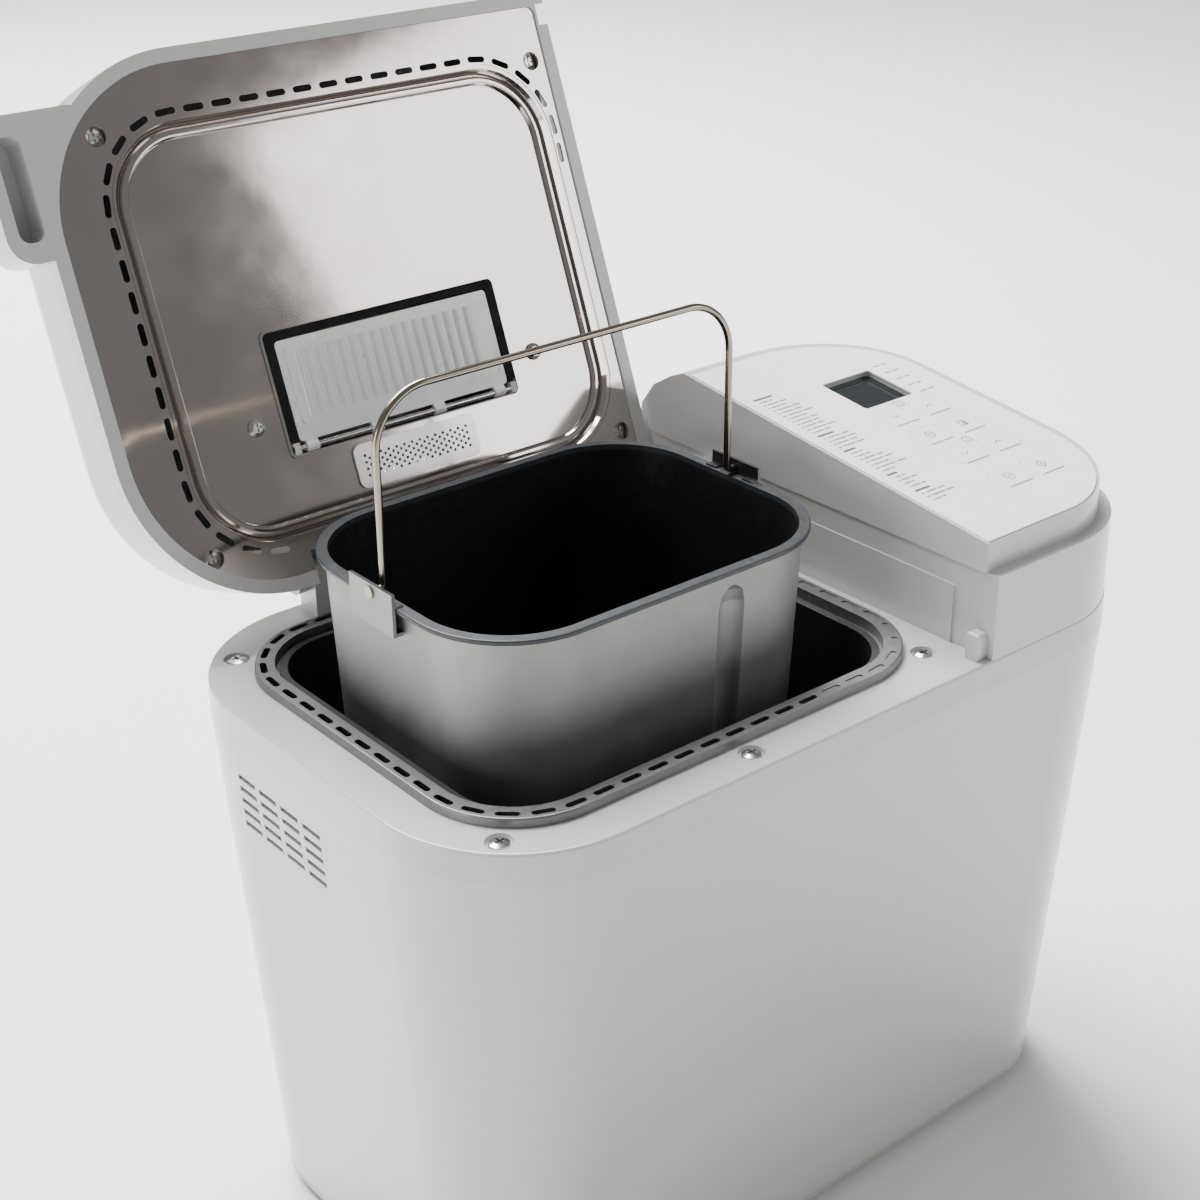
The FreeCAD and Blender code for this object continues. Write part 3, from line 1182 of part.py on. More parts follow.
bail_pivot = pan_rim + 2.4
plates = []
for side in (-1, 1):
    outer = pan_x + side * (Dims.pan_half_x + Dims.pan_lip + 1.7)
    inner = pan_x + side * (Dims.pan_half_x + Dims.pan_lip + 0.1)
    low, high = (outer, inner) if side < 0 else (inner, outer)
    plate = box(low, high, pan_y - 15.5, pan_y + 15.5, pan_rim - 13, pan_rim + 6.4)
    edge = pan_x + side * (Dims.pan_half_x - 0.4)
    low, high = (outer, edge) if side < 0 else (edge, outer)
    tabs = [box(low, high, pan_y + y0, pan_y + y1, pan_rim, pan_rim + 0.8)
            for y0, y1 in ((-15.5, -9), (9, 15.5))]
    foot_edge = pan_x + side * Dims.pan_half_x
    low, high = (outer, foot_edge) if side < 0 else (foot_edge, outer)
    foot = box(low, high, pan_y - 15.5, pan_y + 15.5, pan_rim - 13, pan_rim - 11.4)
    hole = rod(Dims.wire_radius + 0.05, 8, outer - 4, pan_y, bail_pivot, (1, 0, 0))
    plates.append(minus(plus(plate, *tabs, foot), hole, pan_loft(0)))
node("pan_brackets", group(*plates))

bail_top = bail_pivot + Dims.bail_rise
bail_end = Dims.pan_half_x + Dims.pan_lip + 2.2
bail_points = [(pan_x - bail_end, bail_pivot), (pan_x - Dims.bail_half, bail_pivot),
               (pan_x - Dims.bail_half, bail_top), (pan_x + Dims.bail_half, bail_top),
               (pan_x + Dims.bail_half, bail_pivot), (pan_x + bail_end, bail_pivot)]
bail_path = square_path("XZ", bail_points, [2.4, Dims.bail_bend, Dims.bail_bend, 2.4], pan_y)
bail_wire = sweep(bail_path, Dims.wire_radius, (bail_points[0][0], pan_y, bail_pivot), (1, 0, 0))
bail_heads = [rod(2.7, 0.8, pan_x + side * bail_end - 0.4, pan_y, bail_pivot, (1, 0, 0)) for side in (-1, 1)]
node("pan_bail", plus(bail_wire, *bail_heads))

node("pan_base_ring", turned([(53, -19.6), (56.5, -19.6), (56.5, 0), (50, 0), (50, -2), (53, -3)],
                             *pan_spot, pan_base))
node("shaft_seal", turned([(4.05, -4), (8.95, -4), (8.95, skin), (13, skin), (12, 3.8), (8, 8), (4.05, 8)],
                          *pan_spot, pan_base))
stem = turned([(0, -9.5), (8, -9.5), (8, -4.6), (4, -4.6), (4, 27), (3.4, 28), (0, 28)],
              *pan_spot, pan_base)
prongs = [box(pan_x - 3.5, pan_x + 3.5, pan_y - 15, pan_y + 15, pan_base - 9.5, pan_base - 6.5),
          box(pan_x - 3.5, pan_x + 3.5, pan_y - 15, pan_y - 9, pan_base - 16, pan_base - 7),
          box(pan_x - 3.5, pan_x + 3.5, pan_y + 9, pan_y + 15, pan_base - 16, pan_base - 7)]
node("pan_shaft", plus(stem, *prongs))

fin = new_body()
fin_points = [(-9, 9), (10, 9), (44, 10), (47, 14), (42, 20), (24, 36), (8, 42), (-6, 40), (-9, 30)]
pad(fin, polygon(fin, "XZ_Plane", fin_points), 5, both=True)
place(fin, pan_x, pan_y, pan_base)
blade_hub = turned([(4, 8.3), (8.5, 8.3), (7.6, 40), (6, 43), (0, 43), (0, 28), (4, 28)],
                   *pan_spot, pan_base)
blade_bore = rod(4, 20.2, *pan_spot, pan_base + 8)
node("kneading_blade", plus(minus(fin, blade_bore), blade_hub))


# ---------------------------------------------------------------- check and write

doc.recompute()
for thing in doc.Objects:
    if "Invalid" in thing.State or "Error" in thing.State:
        raise RuntimeError(f"{thing.Label} ({thing.Name}) did not build: {thing.State}")
for thing in NODES:
    if thing.Shape.isNull() or not thing.Shape.isValid():
        raise RuntimeError(f"{thing.Label} has no valid shape")
os.makedirs("parts", exist_ok=True)
for thing in NODES:
    thing.Shape.exportStep(f"parts/{thing.Label}.step")
    size = thing.Shape.BoundBox
    print(f"{thing.Label:22s} {len(thing.Shape.Solids):3d} solids {thing.Shape.Volume / 1000:9.2f} cm3"
          f"  x {size.XMin:7.1f} {size.XMax:7.1f}  y {size.YMin:7.1f} {size.YMax:7.1f}"
          f"  z {size.ZMin:7.1f} {size.ZMax:7.1f}")
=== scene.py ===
import math

import bmesh
import bpy
from bpy.props import FloatProperty, FloatVectorProperty, IntProperty, PointerProperty
from mathutils import Matrix, Vector


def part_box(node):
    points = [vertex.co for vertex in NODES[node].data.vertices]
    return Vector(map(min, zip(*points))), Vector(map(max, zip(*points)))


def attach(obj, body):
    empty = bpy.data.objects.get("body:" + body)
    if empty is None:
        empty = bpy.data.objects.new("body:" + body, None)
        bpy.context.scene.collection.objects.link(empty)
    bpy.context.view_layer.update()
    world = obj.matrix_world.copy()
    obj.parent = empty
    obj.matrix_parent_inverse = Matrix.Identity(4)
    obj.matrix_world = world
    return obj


bl_info = {
    "name": "Bread Machine Finishes",
    "version": (1, 0, 0),
    "blender": (4, 5, 0),
    "location": "View3D > Sidebar > Bread Machine",
    "description": "Finishes, panel printing, display, label and studio for the bread machine",
    "category": "Object",
}

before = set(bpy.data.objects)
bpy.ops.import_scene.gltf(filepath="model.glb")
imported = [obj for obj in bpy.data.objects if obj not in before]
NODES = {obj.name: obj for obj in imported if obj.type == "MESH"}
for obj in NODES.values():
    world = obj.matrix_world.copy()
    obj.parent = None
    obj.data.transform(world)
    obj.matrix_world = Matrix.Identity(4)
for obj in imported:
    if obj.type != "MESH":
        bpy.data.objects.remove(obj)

MM = 0.001

# the control panel's plane, and how far ink floats over the skin it is printed on
PANEL_SLOPE = math.radians(6.8)
PANEL_NORMAL = Vector((0, -math.sin(PANEL_SLOPE), math.cos(PANEL_SLOPE)))
INK_GAP = 0.00002

# depth of the pan's rolled rim, down from its top, and how near to level a face is to be lined
RIM_ROLL = 0.0026
LEVEL_ENOUGH = 0.6

# the programme list and the notes beside the display
LIST_MARGIN = 0.006
LIST_RAISE = 0.0015
HEADING_BAR = 0.0016
ROW_BAR = 0.0012
ROW_INDENT = 0.001
GROUP_GAP = 1.25
NOTE_BAR = 0.0011
NOTE_MARGIN = 0.002
NOTE_START = 0.0022
NOTE_SPACE = 0.0012

# the signs sit a little above the middle of their keys, and above the keys that they belong to
SIGN_RAISE = 0.0006
SHARED_SIGN_RAISE = 0.0026

# the display's digits
DIGIT_GAP = 0.0026
DIGIT_SHARE = 0.95
DIGIT_DROP = 0.002
SEGMENT_WIDTH = 0.0009
SEGMENT_GAP = 0.0006
SEGMENT_LAYER = 0.00004

# the rating label and its bars, their lengths against the label's
LABEL_CORNER = 0.0025
LABEL_LIFT = 0.00012
LABEL_MARGIN = 0.006
BAR_HALF = 0.0008
BAR_CORNER = 0.0006
BAR_LIFT = 0.0002
LABEL_BARS = (0.62, 0.9, 0.78, 0.5, 0.84)
EDGE_LIFT = 0.00001
BEHIND_WALL = 1.0

# the studio
FLOOR_REACH = 5.0
FLOOR_MIDDLE = 1.6
FLOOR_STRIPS = 12
CAMERA_PLACE = (-0.5610, -0.6314, 0.7072)
CAMERA_AIM = (0.56772, 0.69332, -0.44385)
CAMERA_ROLL = math.radians(0.567)
CAMERA_LENS = 60.68
CAMERA_SENSOR = 36.0
CAMERA_FAR = 20.0


# ---------------------------------------------------------------- material making

class Coating:
    """A finish being mixed: its material, its shader and the last bump laid on it."""

    def __init__(self, name, colour, metallic=0.0, roughness=0.5, **sockets):
        self.material = bpy.data.materials.new(name)
        self.material.use_nodes = True
        self.tree = self.material.node_tree
        self.shader = self.tree.nodes["Principled BSDF"]
        self.shader.inputs["Base Color"].default_value = (*colour, 1.0)
        self.shader.inputs["Metallic"].default_value = metallic
        self.shader.inputs["Roughness"].default_value = roughness
        self.colour = tuple(colour)
        self.relief = None
        for socket, value in sockets.items():
            self.shader.inputs[socket.replace("_", " ")].default_value = value

    def node(self, kind, **settings):
        made = self.tree.nodes.new(kind)
        for key, value in settings.items():
            setattr(made, key, value)
        return made

    def link(self, start, end):
        self.tree.links.new(start, end)

    def feed(self, node, *values):
        """Gives a node's inputs in order a socket to follow or a plain value."""
        for end, value in zip(node.inputs, values):
            if isinstance(value, bpy.types.NodeSocket):
                self.link(value, end)
            else:
                end.default_value = value
        return node

    def number(self, operation, first, second):
        return self.feed(self.node("ShaderNodeMath", operation=operation), first, second).outputs["Value"]

    def vector(self, operation, first, second):
        made = self.feed(self.node("ShaderNodeVectorMath", operation=operation), first, second)
        return made.outputs["Value" if operation == "DOT_PRODUCT" else "Vector"]

    def upright(self, vector):
        """The Z part of a vector."""
        return self.feed(self.node("ShaderNodeSeparateXYZ"), vector).outputs["Z"]

    def place(self, stretch=(1, 1, 1)):
        """Object coordinates, stretched to draw a grain out along an axis."""
        coordinates = self.node("ShaderNodeTexCoord")
        mapping = self.node("ShaderNodeMapping")
        mapping.inputs["Scale"].default_value = stretch
        self.link(coordinates.outputs["Object"], mapping.inputs["Vector"])
        return mapping.outputs["Vector"]

    def noise(self, scale, detail=3.0, stretch=(1, 1, 1)):
        grain = self.node("ShaderNodeTexNoise")
        grain.inputs["Scale"].default_value = scale
        grain.inputs["Detail"].default_value = detail
        self.link(self.place(stretch), grain.inputs["Vector"])
        return grain.outputs["Fac"]

    def spread(self, value, low, high, start=0.3, end=0.7):
        ranged = self.node("ShaderNodeMapRange")
        for socket, number in (("From Min", start), ("From Max", end), ("To Min", low), ("To Max", high)):
            ranged.inputs[socket].default_value = number
        self.link(value, ranged.inputs["Value"])
        return ranged.outputs["Result"]

    def worn(self, scale, low, high, stretch=(1, 1, 1)):
        """Roughness that wanders between two values."""
        self.link(self.spread(self.noise(scale, 4.0, stretch), low, high), self.shader.inputs["Roughness"])
        return self

    def textured(self, scale, height, stretch=(1, 1, 1), strength=1.0):
        """A relief laid over the last one, its height in metres."""
        bump = self.node("ShaderNodeBump")
        bump.inputs["Strength"].default_value = strength
        bump.inputs["Distance"].default_value = height
        self.link(self.noise(scale, 3.0, stretch), bump.inputs["Height"])
        if self.relief:
            self.link(self.relief, bump.inputs["Normal"])
        self.relief = bump.outputs["Normal"]
        self.link(self.relief, self.shader.inputs["Normal"])
        return self

    def blended(self, factor, first, second):
        """A colour between two, each a plain colour or a socket."""
        mix = self.node("ShaderNodeMix", data_type="RGBA")
        self.link(factor, mix.inputs[0])
        for socket, colour in ((mix.inputs[6], first), (mix.inputs[7], second)):
            if isinstance(colour, bpy.types.NodeSocket):
                self.link(colour, socket)
            else:
                socket.default_value = (*colour, 1.0)
        return mix.outputs[2]

    def tinted(self, scale, change, stretch=(1, 1, 1)):
        """Base colour that drifts a little darker in places."""
        darker = tuple(channel * change for channel in self.colour)
        factor = self.spread(self.noise(scale, 3.0, stretch), 0.0, 1.0)
        self.link(self.blended(factor, self.colour, darker), self.shader.inputs["Base Color"])
        return self


def moulded(name, colour, gloss=0.25):
    """Injection moulded white plastic, polished, with the faintest orange peel."""
    coat = Coating(name, colour, roughness=gloss, Coat_Weight=0.35, Coat_Roughness=0.12, IOR=1.5)
    coat.worn(75, gloss - 0.015, gloss + 0.02).textured(700, 0.000005).tinted(60, 0.992)
    return coat.material


def grained(name, colour, roughness=0.45, pitch=1500, height=0.00003):
    """Plastic from a spark eroded mould, finely pebbled."""
    coat = Coating(name, colour, roughness=roughness)
    coat.worn(60, roughness - 0.06, roughness + 0.08).textured(pitch, height).tinted(22, 0.95)
    return coat.material


def rubbery(name, colour, roughness=0.75):
    coat = Coating(name, colour, roughness=roughness, Specular_IOR_Level=0.3)
    coat.worn(140, roughness - 0.1, roughness + 0.1).textured(900, 0.00004).tinted(60, 0.8)
    return coat.material


def brushed(name, colour, roughness, along, height=0.00001):
    """Metal with a drawn grain along one axis."""
    stretch = tuple(0.04 if axis == along else 1.0 for axis in range(3))
    coat = Coating(name, colour, metallic=1.0, roughness=roughness)
    coat.worn(700, roughness - 0.06, roughness + 0.1, stretch).textured(1100, height, stretch)
    coat.tinted(400, 0.9, stretch)
    return coat.material


def polished(name, colour, roughness=0.1, scuffs=0.06):
    coat = Coating(name, colour, metallic=1.0, roughness=roughness)
    coat.worn(38, roughness, roughness + scuffs).textured(24, 0.00006).tinted(12, 0.93)
    return coat.material


def cast(name, colour, roughness=0.5):
    coat = Coating(name, colour, metallic=0.9, roughness=roughness)
    coat.worn(180, roughness - 0.1, roughness + 0.15).textured(1300, 0.00006).tinted(80, 0.82)
    return coat.material


def painted(name, colour, roughness=0.4):
    coat = Coating(name, colour, roughness=roughness, Coat_Weight=0.25, Coat_Roughness=0.3)
    coat.worn(50, roughness - 0.08, roughness + 0.1).textured(620, 0.00002).tinted(30, 0.92)
    return coat.material


def smoked_glass(name, colour):
    coat = Coating(name, colour, roughness=0.06, Transmission_Weight=0.75, Specular_IOR_Level=0.2)
    coat.worn(70, 0.04, 0.11).textured(30, 0.00002)
    return coat.material


def heated_steel(name, colour, roughness):
    """Coated oven sheet, browned in patches by the heat."""
    coat = Coating(name, colour, metallic=0.85, roughness=roughness)
    coat.worn(35, roughness - 0.08, roughness + 0.14).textured(900, 0.00002).tinted(16, 0.62)
    return coat.material


def laminate(name, colour):
    """Circuit board with a solder mask that shows the copper's islands under it."""
    coat = Coating(name, colour, roughness=0.35, Coat_Weight=0.4, Coat_Roughness=0.15)
    tracks = coat.node("ShaderNodeTexVoronoi", feature="DISTANCE_TO_EDGE")
    tracks.inputs["Scale"].default_value = 210
    coat.link(coat.place(), tracks.inputs["Vector"])
    factor = coat.spread(tracks.outputs["Distance"], 1.0, 0.0, 0.04, 0.07)
    lighter = tuple(min(1.0, channel * 1.9 + 0.02) for channel in colour)
    coat.link(coat.blended(factor, colour, lighter), coat.shader.inputs["Base Color"])
    coat.worn(90, 0.28, 0.45).textured(300, 0.00002)
    return coat.material


def lined_faces(coat, node):
    """1 on the faces of a node that look to its middle or upward, where a lining is sprayed; 0 outside."""
    low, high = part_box(node)
    middle = (low + high) / 2
    coordinates = coat.node("ShaderNodeTexCoord")
    normal = coordinates.outputs["Normal"]
    centred = coat.vector("SUBTRACT", coordinates.outputs["Object"], (middle.x, middle.y, 0))
    reach = coat.vector("MULTIPLY", centred, (2 / (high.x - low.x), 2 / (high.y - low.y), 0))
    cubed = coat.vector("MULTIPLY", coat.vector("MULTIPLY", reach, reach), reach)
    inward = coat.number("LESS_THAN", coat.vector("DOT_PRODUCT", cubed, normal), 0.0)
    upward = coat.number("GREATER_THAN", coat.upright(normal), LEVEL_ENOUGH)
    return coat.number("MAXIMUM", inward, upward)


def lined_sheet(name, node, outside, lining, rim=None):
    """Satin sheet metal outside and non-stick lining inside, with a rolled rim in its own colour."""
    coat = Coating(name, outside, roughness=0.42)
    lined = lined_faces(coat, node)
    colour = coat.blended(lined, outside, lining)
    coated = lined
    if rim:
        rolled = coat.number("GREATER_THAN", coat.upright(coat.place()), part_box(node)[1].z - RIM_ROLL)
        colour = coat.blended(rolled, colour, rim)
        coated = coat.number("MAXIMUM", lined, rolled)
    coat.link(colour, coat.shader.inputs["Base Color"])
    coat.link(coat.spread(coated, 0.7, 0.0, 0.0, 1.0), coat.shader.inputs["Metallic"])
    metal_gloss = coat.spread(coat.noise(70, 4.0), 0.48, 0.58)
    lining_gloss = coat.spread(coat.noise(260, 4.0), 0.3, 0.44)
    gloss = coat.node("ShaderNodeMix", data_type="FLOAT")
    for index, socket in ((0, coated), (2, metal_gloss), (3, lining_gloss)):
        coat.link(socket, gloss.inputs[index])
    coat.link(gloss.outputs[0], coat.shader.inputs["Roughness"])
    coat.textured(1600, 0.00002)
    return coat.material


def printed_ink(name, colour):
    coat = Coating(name, colour, roughness=0.6)
    coat.worn(900, 0.5, 0.7).textured(2500, 0.000006).tinted(1200, 0.9)
    return coat.material


# ---------------------------------------------------------------- mesh making

def new_piece(name, mesh_maker, material, body):
    """A mesh piece from a bmesh, given its finish and fixed to its body."""
    mesh = bpy.data.meshes.new(name)
    bmesh.ops.recalc_face_normals(mesh_maker, faces=mesh_maker.faces)
    mesh_maker.to_mesh(mesh)
    mesh_maker.free()
    piece = bpy.data.objects.new(name, mesh)
    bpy.context.scene.collection.objects.link(piece)
    mesh.materials.append(material)
    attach(piece, body)
    return piece


def sheet_level(node):
    """How far along the panel's normal a node's outer face lies."""
    return max(PANEL_NORMAL.dot(vertex.co) for vertex in NODES[node].data.vertices)


def on_panel(x, y, level, lift=0.0):
    """The point over x, y on a plane parallel to the panel."""
    height = (level + y * math.sin(PANEL_SLOPE)) / math.cos(PANEL_SLOPE)
    return Vector((x, y, height)) + PANEL_NORMAL * lift


def lay_slab(maker, outline, level, base, thickness):
    """A thin layer with a softened edge, cut to an outline given in x, y on the panel."""
    middle_x = sum(x for x, _ in outline) / len(outline)
    middle_y = sum(y for _, y in outline) / len(outline)
    rings = []
    for shrink, lift in ((1.0, 0.0), (1.0, 0.6 * thickness), (0.94, thickness)):
        rings.append([maker.verts.new(on_panel(middle_x + (x - middle_x) * shrink,
                                               middle_y + (y - middle_y) * shrink, level, base + lift))
                      for x, y in outline])
    count = len(outline)
    for lower, upper in zip(rings, rings[1:]):
        for i in range(count):
            maker.faces.new((lower[i], lower[(i + 1) % count], upper[(i + 1) % count], upper[i]))
    maker.faces.new(rings[-1])
    maker.faces.new(list(reversed(rings[0])))


def lay_stroke(maker, points, width, level, base, thickness, closed=False):
    """A stroke of even width that follows points, mitred at its corners."""
    line = [Vector(point) for point in points]
    count = len(line)
    rows = []
    for i, point in enumerate(line):
        before = line[i - 1] if (i or closed) else point
        after = line[(i + 1) % count] if (i < count - 1 or closed) else point
        arriving, leaving = point - before, after - point
        if arriving.length == 0:
            arriving = leaving
        if leaving.length == 0:
            leaving = arriving
        arriving.normalize()
        leaving.normalize()
        side_a = Vector((-arriving.y, arriving.x))
        side_b = Vector((-leaving.y, leaving.x))
        mitre = (side_a + side_b).normalized()
        reach = width / 2 / max(0.4, mitre.dot(side_a))
        rows.append([maker.verts.new(on_panel(*(point + mitre * reach * sign), level, base + lift))
                     for sign, lift in ((1, 0.0), (0.8, thickness), (-0.8, thickness), (-1, 0.0))])
    spans = count if closed else count - 1
    for i in range(spans):
        row, following = rows[i], rows[(i + 1) % count]
        for j in range(4):
            maker.faces.new((row[j], row[(j + 1) % 4], following[(j + 1) % 4], following[j]))
    if not closed:
        maker.faces.new(rows[0])
        maker.faces.new(list(reversed(rows[-1])))


def round_bar(x, y, length, width):
    """Outline of a bar with round ends, starting at x."""
    radius = width / 2
    outline = []
    for centre, start in ((x + length - radius, -90), (x + radius, 90)):
        for step in range(5):
            angle = math.radians(start + 45 * step)
            outline.append((centre + radius * math.cos(angle), y + radius * math.sin(angle)))
    return outline


def arc(x, y, radius, start, end, steps=14):
    return [(x + radius * math.cos(math.radians(start + (end - start) * i / steps)),
             y + radius * math.sin(math.radians(start + (end - start) * i / steps)))
            for i in range(steps + 1)]


# ---------------------------------------------------------------- settings

class BreadmakerFinishSettings(bpy.types.PropertyGroup):
    shell: FloatVectorProperty(
        name="Shell", description="Colour of the white moulded shell, lid and control cap",
        default=(0.60, 0.598, 0.585), subtype="COLOR", min=0, max=1)
    ring: FloatVectorProperty(
        name="Chamber ring", description="Colour of the slotted ring round the oven chamber",
        default=(0.24, 0.24, 0.235), subtype="COLOR", min=0, max=1)
    lid_steel: FloatVectorProperty(
        name="Lid plate", description="Colour of the bright steel plate inside the lid",
        default=(0.60, 0.545, 0.52), subtype="COLOR", min=0, max=1)
    pan_outside: FloatVectorProperty(
        name="Pan outside", description="Colour of the pan's metal outside",
        default=(0.34, 0.34, 0.33), subtype="COLOR", min=0, max=1)
    lining: FloatVectorProperty(
        name="Lining", description="Colour of the pan's non-stick lining and of the blade",
        default=(0.010, 0.010, 0.011), subtype="COLOR", min=0, max=1)
    rim: FloatVectorProperty(
        name="Pan rim", description="Colour of the pan's rolled rim",
        default=(0.030, 0.033, 0.038), subtype="COLOR", min=0, max=1)


class BreadmakerPrintSettings(bpy.types.PropertyGroup):
    ink: FloatVectorProperty(
        name="Ink", description="Colour of the printed headings and signs",
        default=(0.09, 0.09, 0.09), subtype="COLOR", min=0, max=1)
    row_ink: FloatVectorProperty(
        name="Row ink", description="Colour of the rows in the programme list",
        default=(0.27, 0.27, 0.27), subtype="COLOR", min=0, max=1)
    stop_ink: FloatVectorProperty(
        name="Stop ink", description="Colour of the sign on the stop key",
        default=(0.55, 0.03, 0.06), subtype="COLOR", min=0, max=1)
    stroke: FloatProperty(
        name="Stroke", description="Width of a sign's printed line",
        default=0.0005, min=0.0002, max=0.001, unit="LENGTH")
    sign_size: FloatProperty(
        name="Sign size", description="How large the signs are printed, against their drawing",
        default=1.2, min=0.5, max=1.5, subtype="FACTOR")
    layer: FloatProperty(
        name="Ink layer", description="Thickness of the ink on the panel",
        default=0.00005, min=0.00002, max=0.0002, unit="LENGTH")
    row_pitch: FloatProperty(
        name="Row pitch", description="Distance from one row of the programme list to the next",
        default=0.00335, min=0.002, max=0.006, unit="LENGTH")


class BreadmakerDisplaySettings(bpy.types.PropertyGroup):
    segment: FloatVectorProperty(
        name="Segments", description="Colour of the display's resting segments",
        default=(0.010, 0.013, 0.015), subtype="COLOR", min=0, max=1)
    digit_height: FloatProperty(
        name="Digit height", description="Height of one digit on the display",
        default=0.0105, min=0.006, max=0.016, unit="LENGTH")
    digits: IntProperty(
        name="Digits", description="How many digits the display has", default=4, min=1, max=4)


class BreadmakerLabelSettings(bpy.types.PropertyGroup):
    across: FloatProperty(
        name="Across", description="Where the label's middle lies along the back wall",
        default=-0.06, min=-0.12, max=0.12, unit="LENGTH")
    height: FloatProperty(
        name="Height", description="How high the label's middle lies",
        default=0.10, min=0.05, max=0.2, unit="LENGTH")
    width: FloatProperty(
        name="Width", description="Width of the label", default=0.062, min=0.03, max=0.1, unit="LENGTH")
    tall: FloatProperty(
        name="Tall", description="Height of the label from edge to edge",
        default=0.036, min=0.02, max=0.06, unit="LENGTH")


class BreadmakerStageSettings(bpy.types.PropertyGroup):
    floor: FloatVectorProperty(
        name="Floor", description="Colour of the studio floor",
        default=(0.97, 0.97, 0.97), subtype="COLOR", min=0, max=1)
    sky: FloatProperty(
        name="Fill", description="Strength of the even light from all round",
        default=0.24, min=0, max=3)
    top_light: FloatProperty(
        name="Top light", description="Power of the soft light over the back of the machine",
        default=390, min=0, max=1000, unit="POWER")
    side_light: FloatProperty(
        name="Side light", description="Power of the soft light at the left",
        default=9, min=0, max=500, unit="POWER")
    front_light: FloatProperty(
        name="Front light", description="Power of the soft light that shines into the open lid",
        default=9, min=0, max=500, unit="POWER")


# ---------------------------------------------------------------- operators

def settings(context):
    return context.scene.breadmaker


def slot_nodes():
    """The CAD nodes of each material slot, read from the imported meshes."""
    found = {}
    for name, node in NODES.items():
        found.setdefault(node["breadmaker_slot"], []).append(name)
    return found


def coat_node(name, material):
    finishes = NODES[name].data.materials
    finishes.clear()
    finishes.append(material)


def coat_slots(finishes):
    """Gives each slot's nodes their finish."""
    found = slot_nodes()
    for slot, material in finishes.items():
        if slot not in found:
            raise RuntimeError(f"no CAD node has the material slot {slot}")
        for name in found[slot]:
            coat_node(name, material)


class BREADMAKER_OT_finish_casing(bpy.types.Operator):
    """Gives the shell, base, ring, chamber, screws and feet their finishes."""
    bl_idname = "breadmaker.finish_casing"
    bl_label = "Finish Casing"

    def execute(self, context):
        chosen = settings(context).finish
        coat_slots({
            "white_shell": moulded("white_gloss_shell", chosen.shell),
            "base_plastic": grained("grained_base", (0.50, 0.50, 0.49)),
            "rubber_feet": rubbery("foot_rubber", (0.022, 0.022, 0.022)),
            "zinc_screws": polished("zinc_screw_plate", (0.62, 0.61, 0.58), 0.16, 0.12),
            "black_gland": rubbery("gland_rubber", (0.012, 0.012, 0.012), 0.5),
            "ring_alloy": brushed("satin_ring_alloy", chosen.ring, 0.42, 0),
            "liner_steel": heated_steel("oven_liner_steel", (0.085, 0.082, 0.078), 0.45),
            "heater_sheath": heated_steel("heater_sheath_steel", (0.11, 0.10, 0.09), 0.55),
            "sensor_brass": brushed("turned_brass", (0.58, 0.40, 0.14), 0.32, 2),
            "seat_alloy": cast("cast_seat_alloy", (0.40, 0.40, 0.40)),
        })
        return {"FINISHED"}


class BREADMAKER_OT_finish_drive(bpy.types.Operator):
    """Gives the chassis, motor, pulleys, belt, shafts and boards their finishes."""
    bl_idname = "breadmaker.finish_drive"
    bl_label = "Finish Drive"

    def execute(self, context):
        coat_slots({
            "chassis_steel": brushed("galvanised_chassis", (0.46, 0.47, 0.48), 0.42, 0, 0.00002),
            "shaft_steel": brushed("ground_shaft_steel", (0.52, 0.52, 0.52), 0.24, 2),
            "pulley_nylon": grained("pulley_nylon", (0.018, 0.018, 0.02), 0.42),
            "motor_pulley_alloy": brushed("turned_pulley_alloy", (0.58, 0.58, 0.58), 0.3, 2),
            "belt_rubber": rubbery("belt_rubber", (0.006, 0.006, 0.006)),
            "motor_paint": painted("motor_paint", (0.045, 0.048, 0.055)),
            "capacitor_case": grained("capacitor_case", (0.64, 0.64, 0.61), 0.35, 900),
            "coupling_iron": cast("coupling_iron", (0.10, 0.10, 0.10), 0.55),
            "shield_alloy": brushed("heat_shield_foil", (0.66, 0.66, 0.67), 0.3, 0, 0.00003),
            "circuit_board": laminate("solder_mask", (0.012, 0.085, 0.03)),
            "solenoid_case": painted("solenoid_case", (0.08, 0.08, 0.09), 0.35),
        })
        return {"FINISHED"}


class BREADMAKER_OT_finish_lid(bpy.types.Operator):
    """Gives the lid's steel plate, the dispenser and its seal and flap their finishes."""
    bl_idname = "breadmaker.finish_lid"
    bl_label = "Finish Lid"

    def execute(self, context):
        chosen = settings(context).finish
        flap = Coating("flap_pearl_coating", (0.90, 0.90, 0.88), metallic=0.1, roughness=0.3,
                       Coat_Weight=0.3, Coat_Roughness=0.2)
        flap.worn(70, 0.26, 0.38).textured(620, 0.00002).tinted(30, 0.94)
        coat_slots({
            "lid_stainless": polished("bright_lid_steel", chosen.lid_steel, 0.07, 0.05),
            "bin_plastic": grained("dispenser_bin_plastic", (0.70, 0.70, 0.68), 0.4),
            "bin_seal": rubbery("dispenser_seal_rubber", (0.006, 0.006, 0.006)),
            "flap_paint": flap.material,
        })
        coat_node("steam_grille", polished("grille_steel", (0.62, 0.60, 0.57), 0.2))
        return {"FINISHED"}


